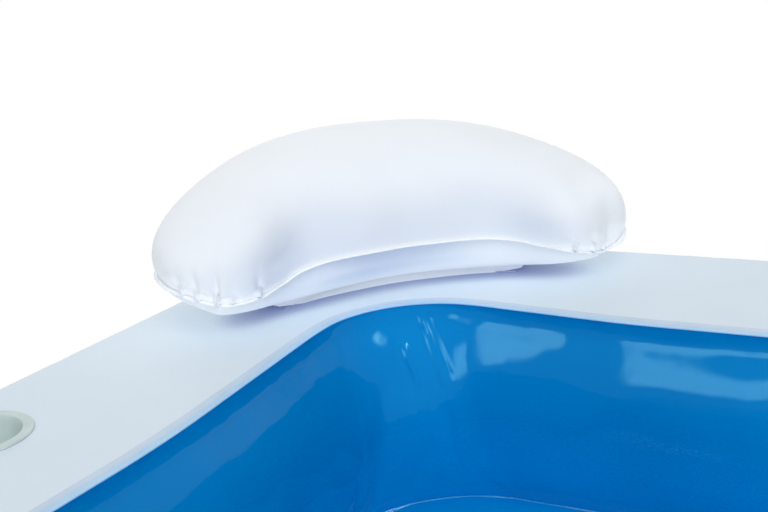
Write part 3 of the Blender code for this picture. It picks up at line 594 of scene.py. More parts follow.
def makeValvedFilm(name, grid, place, flip, zones, materials, **options):
    # presses a round flat seat for the valve into a film, and cuts the hole for its stem
    look, centre, normal = valveLook, np.array(place.translation) / mm, np.array(place.to_3x3().col[2])
    offset = grid - centre
    height = offset @ normal
    away = np.linalg.norm(offset - height[..., None] * normal, axis=-1)
    near = np.abs(height) < look["seatDepth"]
    pull = blendStep(look["seatReach"], look["seatRadius"], away) * near
    points = (grid - normal * (height * pull)[..., None]).reshape(-1, 3)
    faces = gridFaces(*grid.shape[:2], flip=flip)
    inside = (near & (away < look["hole"])).reshape(-1)
    keep = ~inside[faces].all(axis=1)
    out = points - centre
    out = out - (out @ normal)[:, None] * normal
    size = np.maximum(np.linalg.norm(out, axis=1, keepdims=True), 1e-6)
    points = np.where(inside[:, None], centre + out / size * look["hole"], points)
    return makePiece(name, points, faces[keep], materials, zones[keep], **options)


# Outer walls: the same film outside, with the chamber valves on them

outerLook = {**wallLook, "waves": 2.4, "diagonal": 1.0, "gatherTop": 1.8, "gatherLow": 1.8, "spacing": 26, "reach": 30}


def upperOuterGrid():
    low, high, corner = middleHigh, ring["deckTop"] - ring["shoulder"] - ring["skirt"], ring["outerCorner"]
    lines = [(-ring["lip"], corner + ring["lip"], 0.0, low)]
    for step in range(wallLook["rows"] + 1):
        share = step / wallLook["rows"]
        inset = share * stack - bulgeAt(share, ring["outerBulge"])
        lines.append((inset, corner - inset, 0.0, low + (high - low) * share))
    return ringGrid(lines + [(stack, corner - stack, 0.0, high + ring["sideWeld"])])


def lowerOuterGrid():
    corners = (ring["outerCorner"], ring["outerCorner"])
    return wallGrid(lowSheet + stack, middleLow, 0.0, ring["outerBulge"], corners, (0.0, 0.0), 1, wallLook["rows"])


def makeOuterWall(level, grid, seed):
    grid = dressWall(grid, 1, outerLook, seed)
    zones = weldZones(grid, top=level == "lower")
    return makeValvedFilm(level + "OuterFilm", grid, places[level + "_chamber"], False, zones, (blueFilm, weldHighlightBlue),
                          stands=(level + "_outer_wall",), slot="blue_vinyl")


makeOuterWall("upper", upperOuterGrid(), 31)
makeOuterWall("lower", lowerOuterGrid(), 41)


def makeDivider():
    # a flat ring with rounded cut edges, welded between the lips of the upper and the lower films
    half = ring["film"] / 2 + 0.3
    outer, inner = -ring["lip"] - 0.8, ring["deckWidth"] + 0.9
    edge = ((0.8, half), (0.2, half * 0.6), (0, 0), (0.2, -half * 0.6), (0.8, -half))
    lines = [(outer + inset, ring["outerCorner"] - (outer + inset), height) for inset, height in edge]
    lines += [(inner - inset, ring["seamCorner"] - (inner - inset - ring["deckWidth"]), -height)
              for inset, height in edge]
    grid = ringGrid([(inset, radius, 0.0, ring["divider"] + height) for inset, radius, height in lines + lines[:1]])
    return makeGridPiece("dividerFilm", grid, (cutEdge,), stands=("chamber_divider",), slot="web_vinyl", merge=True)


makeDivider()
print("outer walls and divider made")


# Floor: one bare film, slack enough to lie in low ripples

floorLook = {
    "inset": 280.35, "radius": 155, "rows": 70, "ripple": 0.8, "rippleSize": 160, "drain": (0, -584), "hole": 20,
    # the film is level round the drain and free from there on
    "drainLevel": 36, "drainFree": 90,
}


def makeFloor():
    edge = ringLine(floorLook["inset"], floorLook["radius"])
    shares = np.arange(floorLook["rows"] + 1) / floorLook["rows"]
    grid = np.array([levelRow(edge * (1 - share), ring["film"]) for share in shares])
    lift = floorLook["ripple"] * (1 + softNoise(grid, floorLook["rippleSize"], 51))
    free = blendStep(floorLook["drainLevel"], floorLook["drainFree"], awayFrom(grid, floorLook["drain"]))
    grid[:, :, 2] += lift * blendStep(0, 0.12, shares)[:, None] * free
    points, faces = grid.reshape(-1, 3), gridFaces(*grid.shape[:2])
    points, faces, zones = openHole(points, faces, np.zeros(len(faces), int), floorLook["drain"], floorLook["hole"])
    return makePiece("floorFilm", points, faces, (floorFilm,), zones, stands=("floor_sheet",),
                     slot="floor_vinyl", merge=True)


makeFloor()


# Seats: a crowned pad in each corner, its top film welded to a bowed front film

seatLook = {
    "edge": 286.95, "gap": 280, "rise": 0.6, "crown": 34, "crownPower": 2.6, "bow": 46, "frontBulge": 30,
    "rings": 30, "rim": 320, "lip": 4.5, "frontRows": 30, "frontColumns": 130, "waves": 1.6, "waveSize": 170,
    "frontWaveSize": 150,
    # gathers: how far apart, then depth and reach on the top, below the seam and above the floor
    "spacing": 28, "topGather": (1.6, 34), "seamGather": (1.5, 30), "floorGather": (1.2, 20),
}
seatReach = (ring["halfX"] - seatLook["gap"] / 2, ring["halfY"] - seatLook["gap"] / 2)


def evenLine(points, count):
    # the same closed line with evenly spaced points
    points = np.vstack([points, points[:1]])
    run = np.concatenate([[0], np.cumsum(np.linalg.norm(np.diff(points, axis=0), axis=1))])
    spots = np.linspace(0, run[-1], count + 1)[:count]
    return np.column_stack([np.interp(spots, run, points[:, axis]) for axis in range(points.shape[1])])


def inCorner(points, sx, sy):
    # from insets in the corner to the place on that corner of the pool
    return points * (-sx, -sy, 1) + (sx * ring["halfX"], sy * ring["halfY"], 0)


def frontLine(edge, bow, share):
    # the seat's front, bowed into the pool, as insets
    low, high = np.array((seatReach[0], edge)), np.array((edge, seatReach[1]))
    along = high - low
    across = np.abs(along[::-1]) / np.linalg.norm(along)
    return low + along * share[:, None] + across * bulgeAt(share[:, None], bow)


def seatRim():
    edge = seatLook["edge"]
    radius = ring["seamCorner"] - (edge - ring["deckWidth"])
    turn = math.pi * (1 + 0.5 * np.arange(41) / 40)
    arc = edge + radius * (1 + np.column_stack([np.cos(turn), np.sin(turn)]))
    front = frontLine(edge, seatLook["bow"], np.linspace(0, 1, 60)[1:-1])
    return np.vstack([[(edge, seatReach[1])], arc, [(seatReach[0], edge)], front])


def seatTop(high, seed):
    rim = evenLine(seatRim(), seatLook["rim"])
    middle, shares = rim.mean(axis=0), np.linspace(0, 1, seatLook["rings"] + 1)
    crown = seatLook["crown"] * np.sqrt(1 - shares ** seatLook["crownPower"])
    top = np.array([levelRow(middle + (rim - middle) * share, high + rise) for share, rise in zip(shares, crown)])
    toRim = (1 - shares)[:, None] * np.linalg.norm(rim - middle, axis=1)[None]
    lift = seatLook["waves"] * blendStep(0, 60, toRim) * softNoise(top, seatLook["waveSize"], seed)
    top[:, :, 2] += lift + gathers(top, toRim, seed + 1, seatLook["spacing"], *seatLook["topGather"])
    top[-1, :, 2] = high
    return top


def seatFront(low, high, seed):
    # this film hangs from the rim of the top down to the floor
    share, down = np.linspace(0, 1, seatLook["frontColumns"]), np.linspace(0, 1, seatLook["frontRows"] + 1)
    rows = []
    for level in 1 - down:
        wall = max(rootInset + bulgeAt(level, ring["lowerBulge"]) + 0.6, ring["deckWidth"]) + 0.95
        line = frontLine(wall, seatLook["bow"] + bulgeAt(level, seatLook["frontBulge"]), share)
        rows.append(levelRow(line, low + (high - low) * level))
    front = np.array(rows)
    slow = softNoise(front, seatLook["frontWaveSize"], seed + 3, 1.4)
    lift = seatLook["waves"] * np.sin(math.pi * down)[:, None] * slow
    lift += gathers(front, high - front[:, :, 2], seed + 1, seatLook["spacing"], *seatLook["seamGather"])
    lift += gathers(front, front[:, :, 2] - low, seed + 5, seatLook["spacing"], *seatLook["floorGather"])
    lift *= blendStep(0, 0.04, share)[None] * blendStep(1, 0.96, share)[None]
    lift[0] = 0
    return front + gridNormals(front, (1, 1, 0), ring=False) * lift[:, :, None]


def seatLip(front):
    # a thin lip stands out from the seam of the two films
    share = np.clip(np.linspace(0, 1, front.shape[1]), 0.001, 0.999)
    outward = gridNormals(front, (1, 1, 0), ring=False)[1]
    outward[:, 2] = 0
    outward /= np.linalg.norm(outward, axis=1, keepdims=True)
    outward *= (seatLook["lip"] * np.sin(math.pi * share) ** 0.15)[:, None]
    profile = ((0, 0.9), (0.9, 0.8), (1, 0), (0.9, -0.8), (0, -0.9))
    return np.array([front[0] + outward * out + (0, 0, height) for out, height in profile])


def makeSeat(sx, sy):
    label = cornerNames[(sx, sy)]
    low, high = stack, ring["divider"] + seatLook["rise"]
    seed = 61 + 3 * list(cornerNames).index((sx, sy))
    front = seatFront(low, high, seed)
    points, faces, zones, start = [], [], [], 0
    for grid, closed, zone in ((seatTop(high, seed), True, 0), (front, False, 0), (seatLip(front), False, 1)):
        points.append(grid.reshape(-1, 3))
        faces.append(gridFaces(*grid.shape[:2], ring=closed) + start)
        zones.append(np.full(len(faces[-1]), zone))
        start += len(points[-1])
    seat = makePiece("seatPad_" + label, inCorner(np.vstack(points), sx, sy), np.vstack(faces),
                     (blueFilm, weldHighlightBlue), np.concatenate(zones),
                     stands=(f"seat_{label}_top", f"seat_{label}_front"), slot="blue_vinyl", merge=True)
    return seat


for corner in cornerNames:
    makeSeat(*corner)
print("floor and seats made")


# Headrests: a bent pillow on each corner, two films welded in one seam

pillow = {
    "halfLength": 323, "halfWidth": 130, "seamRise": 74, "seamEnd": 50,
    "seamLean": 7, "crown": 131, "lean": 0.06, "widthPower": 3.0, "widthRound": 1.9, "heightPower": 2.33,
    "heightRound": 1.73, "bellyEnd": 4.06, "crownPower": 2.53, "bellyPower": 1.24, "core": 0.57, "seamLip": 5,
    # the sides swell out over the seam, most at both ends
    "swell": 1.6, "swellEnd": 22.5,
    # at both tips the seam tucks in under the swell: how far, and over how many degrees round it
    "tuck": 15, "tuckDown": 10, "tipLip": 4, "tuckReach": 34,
    # how the seam wanders out and up, as waves round it: a mean, then a cosine and a sine for each wave
    "seamOut": (-1.4, -1.9, 4.0, 2.5, -4.9, -5.3, -0.7, 3.1, -2.9, -5.5, -6.2, -5.7, 1.4),
    "seamUp": (0.6, -0.4, 0.7, 0.9, -3.4, -1.8, 1.6, -0.1, -2.9),
    "rim": 640, "topRings": 44, "bellyRings": 40, "low": 2.5,
    # where the lower panel is welded to the deck: its foot as a share of the width, and the weld's own width
    "footShare": 0.20, "footLip": 14, "footBend": 3, "footSink": 0.15, "bellyTo": 0.55, "footTo": 0.85,
    # over what shares of the length the weld gives way to the free ends, and its lip to nothing
    "dropFrom": 0.40, "dropTo": 0.70, "lipFrom": 0.10, "lipTo": 0.56,
    # gathers of the seam: place round it in degrees, depth, reach and half width
    "puckers": ((3, 5.0, 17, 2.8), (343, 9.0, 18, 2.7), (332, 9.0, 18, 2.7), (205, 8.0, 24, 2.7),
                (192, 5.0, 18, 2.7), (185, 11.0, 34, 2.8), (173, 8.0, 28, 2.7), (164, 6.0, 22, 2.7)),
    "looseFrom": 12, "looseTo": 148, "spacing": 30, "depth": 3.0, "reach": 24, "width": 3.0,
    # how much of a gather's depth the lip follows, its ripple at both ends, and slow waves over the top
    "lipShare": 0.5, "ripple": 0.5, "rippleSize": 6.5, "waves": 0.9, "waveSize": 120,
}


def rounded(share, power, rounding):
    return np.maximum(0.0, 1 - np.abs(share) ** power) ** (1 / rounding)


def pillowHalf(share):
    end = rounded(share, pillow["widthPower"], pillow["widthRound"])
    return pillow["halfWidth"] * (1 - pillow["lean"] * share) * end


def spineFrame(share):
    angle = math.pi * 5 / 4 + pillow["halfLength"] / spineRadius * share
    away = np.stack([np.cos(angle), np.sin(angle)], -1)
    return np.array(spineCentre, float) + away * spineRadius, away


def fullness(share, across, power):
    # 1 over the spine, 0 at the seam
    out = np.minimum(1.0, np.abs(across) / np.maximum(pillowHalf(share), 1e-3))
    return np.sqrt(np.maximum(0, 1 - out ** power))


def seamHeight(share):
    rise = pillow["seamRise"] + (pillow["seamEnd"] - pillow["seamRise"]) * np.abs(share) ** 3
    return rise - pillow["seamLean"] * share


def waveSum(numbers, turn):
    total = np.full(len(turn), float(numbers[0]))
    for k in range(1, len(numbers) // 2 + 1):
        total += numbers[2 * k - 1] * np.cos(k * turn) + numbers[2 * k] * np.sin(k * turn)
    return total


def pillowRim():
    # evenly round the seam, one way round: the share of the spine, the distance across, the turn
    power = pillow["widthPower"]
    turn = np.linspace(0, 2 * math.pi, 4001)[:-1]
    share = np.sign(np.cos(turn)) * np.abs(np.cos(turn)) ** (2 / power)
    across = np.sign(np.sin(turn)) * pillowHalf(share)
    even = evenLine(np.column_stack([share * pillow["halfLength"], across]), pillow["rim"])
    share, across = np.clip(even[:, 0] / pillow["halfLength"], -1, 1), even[:, 1]
    turn = np.arccos(np.sign(share) * np.abs(share) ** (power / 2))
    return share, across, np.where(across < 0, 2 * math.pi - turn, turn)


def puckerList(position, turn, seed):
    # the seam's gathers: the set ones, then loose ones on the far side
    draw = random.Random(seed)

    def placeOf(degrees):
        return position[np.argmin(np.abs(np.degrees(turn) - degrees))]

    found = [(placeOf(place), depth, reach, width) for place, depth, reach, width in pillow["puckers"]]
    at, last = placeOf(pillow["looseFrom"]), placeOf(pillow["looseTo"])
    while at < last:
        found.append((at, pillow["depth"] * draw.uniform(0.5, 1.2), pillow["reach"] * draw.uniform(0.6, 1.3),
                      pillow["width"] * draw.uniform(0.8, 1.3)))
        at += pillow["spacing"] * draw.uniform(0.6, 1.4)
    return found


def lowerPanel(line, share, outward):
    # row by row from the seam to the spine: free and rounded at both ends, welded down in the middle
    foot, low = pillow["footShare"], -pillow["footSink"]
    drop = 1 - blendStep(pillow["dropFrom"], pillow["dropTo"], np.abs(share))
    lip = pillow["footLip"] * (1 - blendStep(pillow["lipFrom"], pillow["lipTo"], np.abs(share)))
    footHeight, bellyTo, footTo = line(foot)[:, 2], pillow["bellyTo"], pillow["footTo"]
    found = []
    for v in np.arange(pillow["bellyRings"] + 1) / pillow["bellyRings"]:
        if v < bellyTo:
            row = line(1 - (1 - foot) * math.sin(math.pi / 2 * v / bellyTo))
            shift = 0
        elif v < footTo:
            w = (v - bellyTo) / (footTo - bellyTo)
            row = line(foot * (1 - 0.5 * w * (1 - drop)))
            row[:, 2] += (low - footHeight) * blendStep(0, 1, w) * drop
            shift = (lip * w ** 2.2 - pillow["footBend"] * 2 * w * (1 - w)) * drop
        else:
            w = (v - footTo) / (1 - footTo)
            row = line(foot * (1 - 0.5 * (1 - drop)) * (1 - w))
            row[:, 2] += (low - footHeight) * drop * (1 - w)
            shift = lip * (1 - w) * drop
        row[:, :2] += outward[:, :2] * np.reshape(shift, (-1, 1))
        found.append(row)
    return np.array(found)


def pillowGrid(label):
    # rows over the top from the spine to the seam, round its lip, and back under the belly
    share, across, turn = pillowRim()
    core = np.clip(share, -pillow["core"], pillow["core"])
    tipShare = np.exp(-(np.degrees(np.arcsin(np.abs(np.sin(turn)))) / pillow["tuckReach"]) ** 2)
    waveOut = waveSum(pillow["seamOut"], turn) - pillow["tuck"] * tipShare
    waveUp = waveSum(pillow["seamUp"], turn) - pillow["tuckDown"] * tipShare
    middle, away = spineFrame(share)
    seam = middle + away * across[:, None]
    along = np.roll(seam, -1, axis=0) - np.roll(seam, 1, axis=0)
    outward = np.column_stack([along[:, 1], -along[:, 0], np.zeros(len(seam))])
    outward /= np.linalg.norm(outward, axis=1, keepdims=True)
    half = len(seam) // 2
    outward *= np.sign(((seam[half] - spineFrame(np.float64(0))[0]) * outward[half, :2]).sum())

    def line(out, side):
        s = core + (share - core) * out
        middle, away = spineFrame(s)
        spot = middle + away * (across * out)[:, None] + outward[:, :2] * (waveOut * out ** 2)[:, None]
        height = seamHeight(s)
        if side > 0:
            profile = rounded(s, pillow["heightPower"], pillow["heightRound"])
            full = fullness(s, across * out, pillow["crownPower"])
            height = height + pillow["crown"] * (1 - pillow["lean"] * s) * profile * full
            full = full * profile / rounded(core, pillow["heightPower"], pillow["heightRound"])
            swell = (pillow["swell"] + pillow["swellEnd"] * np.abs(share) ** 4) * 4 * full * (1 - full)
            spot = spot + outward[:, :2] * swell[:, None]
        else:
            belly = (height - pillow["low"]) * rounded(s, pillow["bellyEnd"], 2)
            height = height - belly * fullness(s, across * out, pillow["bellyPower"])
        return np.column_stack([spot, height + waveUp * out ** 6])

    topShares = np.sin(np.linspace(0, math.pi / 2, pillow["topRings"] + 1)) ** 0.9
    top = np.array([line(out, 1) for out in topShares])
    belly = lowerPanel(lambda out: line(out, -1), share, outward)
    seam = (top[-1] + belly[0]) / 2
    steps = np.linalg.norm(np.diff(np.vstack([seam, seam[:1]]), axis=0), axis=1)
    position, length = np.concatenate([[0], np.cumsum(steps)])[:-1], steps.sum()
    found = [(np.minimum(np.abs(position - at), length - np.abs(position - at)), depth, reach, width)
             for at, depth, reach, width in puckerList(position, turn, 71 + len(label))]
    for grid, up, edge, reachShare in ((top, 1, -1, 1.0), (belly, -1, 0, 0.45)):
        facing = np.zeros(grid.shape) + (0, 0, up)
        facing[:, :, :2] += outward[None, :, :2] * 0.4
        normal = gridNormals(grid, facing)
        distance = np.linalg.norm(grid - grid[edge][None], axis=2)
        lift = np.zeros(grid.shape[:2])
        for gap, depth, reach, width in found:
            fade = np.exp(-(distance / (reach * reachShare)) ** 2)
            spread = width * (1 + 0.8 * distance / reach)
            lift -= depth * fade * (np.exp(-(gap / spread) ** 2) - 0.3 * np.exp(-(gap / (spread * 3)) ** 2))
        if grid is top:
            lift += pillow["waves"] * softNoise(grid, pillow["waveSize"], 75) * np.clip(distance / 60, 0, 1)
        lift[edge] *= 0.5
        # the row along the spine stays where it is
        lift[-1 - edge] = 0
        grid += normal * lift[:, :, None]
    lip = pillow["seamLip"] + pillow["tipLip"] * tipShare
    for gap, depth, _, width in found:
        lip = lip - depth * pillow["lipShare"] * np.exp(-(gap / (width * 1.2)) ** 2)
    ripple = pillow["ripple"] * np.sin(position / pillow["rippleSize"]) * blendStep(0.55, 0.85, np.abs(share))
    seam = (top[-1] + belly[0]) / 2
    top[-1], belly[0] = seam + (0, 0, 0.5), seam - (0, 0, 0.5)
    lipRows = []
    for reach, height in ((0.55, 0.55), (1.0, 0.45), (1.05, 0.0), (1.0, -0.45), (0.55, -0.55)):
        row = seam + outward * (np.maximum(0.6, lip) * reach)[:, None]
        row[:, 2] += height + ripple * reach
        lipRows.append(row)
    return np.vstack([top, lipRows, belly]) + (0, 0, ring["deckTop"])


def makeHeadrest(sx, sy):
    label = cornerNames[(sx, sy)]
    grid = inCorner(pillowGrid(label), sx, sy)
    zones = np.zeros((grid.shape[0] - 1) * grid.shape[1], int)
    rest = makeValvedFilm("headrest_" + label, grid, places["headrest_" + label], sx * sy > 0, zones, (cushionFilm,),
                          stands=(f"headrest_{label}_upper_panel", f"headrest_{label}_lower_panel"),
                          slot="white_vinyl", merge=True)
    return rest


for corner in cornerNames:
    makeHeadrest(*corner)
print("headrests made")


# Turned and moulded pieces

turnedSides = 48


def turnedGrid(profile, sides):
    angle = 2 * math.pi * np.arange(sides) / sides
    rows = [np.column_stack([r * np.cos(angle), r * np.sin(angle), np.full(sides, z)]) for r, z in profile]
    return np.array(rows)


def placed(points, place):
    turn = np.array(place.to_3x3())
    return points @ turn.T + np.array(place.translation) / mm


def softProfile(corners, radius):
    # a closed outline of (radius, height) points with each corner rounded off
    smooth = []
    count = len(corners)
    for k in range(count):
        before, here, after = (np.array(corners[(k + j) % count], float) for j in (-1, 0, 1))
        legs = []
        for other in (before, after):
            size = np.linalg.norm(other - here)
            legs.append(here + (other - here) / max(size, 1e-6) * min(radius, size * 0.45))
        for share in (0.0, 0.33, 0.67, 1.0):
            smooth.append((1 - share) ** 2 * legs[0] + 2 * share * (1 - share) * here + share ** 2 * legs[1])
    return smooth


def makeCup(side):
    # points of (radius, height): up the inside, over the rim with its groove, and down the outside
    radius, foot, wall, low, gap = cups["radius"], cups["floorRadius"], cups["wall"], -cups["depth"], ring["gap"]
    rimTop, edge = gap + cups["rimHeight"], radius + cups["rim"]
    inner = [(0.02, low + wall + 0.3), (30, low + wall + 0.2), (foot - 4, low + 1.8), (foot - 1, low + 3.2),
             (foot + 0.4, low + 7)]
    inner += [(foot + 0.4 + (radius - foot - 0.6) * share, low + 7 + (rimTop - low - 9) * share)
              for share in (0.2, 0.4, 0.6, 0.8, 0.92)]
    rim = [(radius + out, rimTop - down) for out, down in
           ((0.2, 1.2), (0.9, 0.3), (2.0, 0.0), (4.5, 0.1), (5.2, 0.5), (6.0, 0.5), (6.8, 0.1))]
    rim += [(edge - 1.6, rimTop - 0.2), (edge - 0.5, rimTop - 0.6), (edge, rimTop - 1.2), (edge - 0.2, gap - 0.6),
            (radius + wall, gap - 0.6)]
    outer = [(foot + wall, low + 2), (foot - 0.5, low), (0.02, low)]
    grid = turnedGrid(inner + rim + outer, cups["sides"]) + (*cups["centres"][side], ring["deckTop"])
    return makeGridPiece("cupHolder_" + side, grid, (milkyPvc,), flip=True, stands=("cup_holder_" + side,),
                         slot="clear_vinyl", merge=True)


for side in cups["centres"]:
    makeCup(side)


def softBox(low, high, edge):
    # a box with rounded edges, as points and faces
    form = bmesh.new()
    bmesh.ops.create_cube(form, size=1.0)
    size = Vector(high) - Vector(low)
    middle = (Vector(high) + Vector(low)) / 2
    bmesh.ops.transform(form, matrix=Matrix.Translation(middle) @ Matrix.Diagonal((*size, 1.0)), verts=form.verts)
    bmesh.ops.bevel(form, geom=form.edges[:], offset=edge, segments=3, affect="EDGES", profile=0.5)
    form.verts.ensure_lookup_table()
    points = np.array([v.co[:] for v in form.verts])
    faces = [[v.index for v in face.verts] for face in form.faces]
    form.free()
    return points, faces


def turnedPiece(name, corners, edge, body, node, place, material, slot, boxes=()):
    outline = softProfile(corners, edge)
    grid = turnedGrid(outline + outline[:1], turnedSides)
    points = [grid.reshape(-1, 3)]
    faces = gridFaces(*grid.shape[:2]).tolist()
    start = len(points[0])
    for box in boxes:
        more, moreFaces = softBox(*box)
        points.append(more)
        faces += [[start + k for k in face] for face in moreFaces]
        start += len(more)
    return makePiece(name, placed(np.vstack(points), place), faces, (material,), body=body, stands=(node,),
                     slot=slot, merge=True)


def capCorners(bore, wall, top, scale):
    low = top + ring["gap"]
    high, foot = low + valveLook["capThick"] * scale, low - valveLook["plugLength"] * scale
    disc = bore + wall + valveLook["capRim"] * scale
    plug = bore - valveLook["plugClear"] * scale
    tip = plug - valveLook["plugTaper"] * scale
    return [(0.02, foot), (tip, foot), (plug, low), (disc, low), (disc, high), (disc * 0.72, high),
            (disc * 0.62, high - 0.5 * scale), (0.02, high - 0.5 * scale)]


def makeValve(label, place):
    # boxes of (low, high, rounding) are the straps and tabs
    v, node, gap = valveLook, label + "_valve", ring["gap"]
    bore, outer, edge = v["bore"], v["bore"] + v["stemWall"], v["bore"] + v["stemWall"] / 2
    hinge, half, top, foot = -(outer + v["strapReach"]), v["strapWidth"] / 2, v["above"], -v["below"]
    hole, wide, face = v["holeRadius"], v["flangeRadius"], gap + v["flangeThick"]
    flange = [(hole, gap), (hole, face + 0.5), (hole + 1.6, face + 0.5), (hole + 2.2, face), (wide, face - 0.3),
              (wide, gap)]
    stem = [(bore, foot), (bore, top), (outer, top), (outer, foot + v["beadHeight"]),
            (outer + v["bead"], foot + v["beadHeight"]), (outer + v["bead"], foot)]
    ear = ((hinge, -half, top - v["strapThick"]), (-edge, half, top), 0.35)
    low = top + gap
    strap = ((hinge, -half, low), (-bore, half, low + v["strapThick"]), 0.35)
    tab = ((outer, -v["tabHalf"], low + 0.1), (outer + v["tabReach"], v["tabHalf"], low + 1.2), 0.4)
    under = foot - gap
    flap = [(0.02, under - v["flapThick"]), (edge, under - v["flapThick"]), (edge, under), (0.02, under)]
    flapTab = ((0, -half, under - v["flapThick"]), (edge + v["flapTab"], half, under), 0.25)
    for part, corners, rounding, boxes in (
            ("flange", flange, 0.4, ()), ("stem", stem, 0.5, [ear]),
            ("cap", capCorners(bore, v["stemWall"], top, 1.0), 0.35, [strap, tab]), ("flap", flap, 0.2, [flapTab])):
        body = "pool" if part == "flange" else f"{node}_{part}"
        turnedPiece(f"valve_{label}_{part}", corners, rounding, body, f"{node}_{part}", place, valvePvc,
                    "clear_vinyl", boxes)


for label, place in places.items():
    makeValve(label, place)


# its cap and strap are those of a valve, this much bigger
drainLook = {"bore": 13, "wall": 4, "collar": 9, "radius": 32, "thick": 2.0, "scale": 1.3}


def makeDrain():
    bore, wall, wide, scale = (drainLook[key] for key in ("bore", "wall", "radius", "scale"))
    face, outer = ring["gap"] + drainLook["thick"], bore + wall
    top = face + drainLook["collar"]
    hinge, half = -(outer + valveLook["strapReach"] * scale), valveLook["strapWidth"] * scale / 2
    low, thin = top + ring["gap"], valveLook["strapThick"] * scale
    place = Matrix.Translation(Vector((*floorLook["drain"], ring["film"])) * mm)
    flange = [(bore, ring["gap"]), (bore, top), (outer, top), (outer, face), (wide, face), (wide, ring["gap"])]
    ear = ((hinge, -half, top - thin), (-(bore + wall / 2), half, top), 0.4)
    turnedPiece("drainFlange", flange, 0.7, "pool", "drain_flange", place, drainPvc, "white_vinyl", [ear])
    strap = ((hinge, -half, low), (-bore, half, low + thin), 0.4)
    turnedPiece("drainCap", capCorners(bore, wall, top, scale), 0.5, "drain_cap", "drain_cap", place, drainPvc,
                "white_vinyl", [strap])


makeDrain()
print("cups, valves and drain made")


# CAD nodes whose shape is right keep it and get their finish

finishes = {"base_panel": blueFilm, "_web": webFilm, "_weld_patch": whiteFilm}
for name, node in frame["nodes"].items():
    for ending, finish in finishes.items():
        if name.endswith(ending):
            node.data.materials.clear()
            node.data.materials.append(finish)


# Floor of the studio, lamps and camera

studio = {
    # the floor's size, and how far out its shade fades to plain white, in metres
    "floorSize": 60, "floorDrop": 0.0006, "floorColour": "#FFFFFF", "clearFrom": 1.5, "clearTo": 2.1, "skyLevel": 0.24,
    # lamps that show in the film's gloss only: where they aim, from which side, how far away, size, power and
    # the share of the cloth that fades towards the frame
    "softboxes": {
        "band": ((-0.50, 0.70, 0.44), -107.5, 24.0, 3.4, (1.16, 1.00), 37, 0.5),
        "patch": ((-0.62, 0.72, 0.44), -127.5, 26.0, 3.4, (0.54, 1.05), 18, 0.35),
        "cornerGlint": ((-0.762, 0.671, 0.470), 8.0, 48.0, 2.6, (1.5, 0.45), 62, 0.9),
        "wallGlint": ((-0.775, 0.480, 0.478), 67.0, 19.0, 2.6, (0.50, 0.36), 21, 0.9),
    },
    # big soft lamps far away; level 1 lights a white sheet that faces them to white. Only the front one
    # throws a shadow: the others stand in for light that the thin films let through.
    "skyAngle": 60,
    "skyLamps": {
        "front": {"azimuth": -55, "elevation": 32, "level": 0.53, "shadow": True},
        "top": {"azimuth": 0, "elevation": 90, "level": 0.32},
        "low": {"azimuth": -50, "elevation": -45, "level": 0.44, "colour": "#FFF5EA"},
        "back": {"azimuth": 135, "elevation": 20, "level": 0.30},
    },
}


def seenDirectly(tree):
    # 1 for what the camera sees, also off gloss and through clear things, and 0 for what only lights
    path = addNode(tree, "LightPath")
    seen = path.outputs["Is Camera Ray"]
    for ray in ("Is Glossy Ray", "Is Transmission Ray"):
        seen = addNode(tree, "Math", {"operation": "MAXIMUM"}, {0: seen, 1: path.outputs[ray]}).outputs[0]
    return seen


def makeFloorStage():
    size, z = studio["floorSize"] / 2, -studio["floorDrop"]
    mesh = bpy.data.meshes.new("studioFloor")
    mesh.from_pydata([(-size, -size, z), (size, -size, z), (size, size, z), (-size, size, z)], [], [(0, 1, 2, 3)])
    addObject("studioFloor", mesh)
    # Painted studio floor: matt white, it keeps the pool's shadow near the wall and fades to plain white.
    material, tree, shader, place = startMaterial("studioFloorPaint", {
        "Roughness": 0.8, "IOR": 1.4, "Base Color": tone(studio["floorColour"])})
    distance = addNode(tree, "VectorMath", {"operation": "LENGTH"}, {0: place})
    fade = addNode(tree, "MapRange", {"From Min": studio["clearFrom"], "From Max": studio["clearTo"]},
                   {"Value": distance.outputs["Value"]})
    factor = addNode(tree, "Math", {"operation": "MULTIPLY"}, {0: seenDirectly(tree), 1: fade.outputs["Result"]})
    white = addNode(tree, "Emission", {"Color": (1, 1, 1, 1), "Strength": 1.0})
    mixed = addNode(tree, "MixShader", links={0: factor.outputs[0], 1: shader.outputs[0], 2: white.outputs[0]})
    tree.links.new(mixed.outputs[0], tree.nodes["Material Output"].inputs["Surface"])
    mesh.materials.append(material)


def makeWorld():
    world = bpy.data.worlds.new("studioWorld")
    bpy.context.scene.world = world
    world.use_nodes = True
    tree = world.node_tree
    tree.nodes.clear()
    level = addNode(tree, "MapRange", {"To Min": studio["skyLevel"], "To Max": 1.0}, {"Value": seenDirectly(tree)})
    sky = addNode(tree, "Background", {"Color": (1, 1, 1, 1)}, {"Strength": level.outputs["Result"]})
    addNode(tree, "OutputWorld", links={"Surface": sky.outputs[0]})


def towards(azimuth, elevation):
    turn, rise = math.radians(azimuth), math.radians(elevation)
    return Vector((math.cos(turn) * math.cos(rise), math.sin(turn) * math.cos(rise), math.sin(rise)))


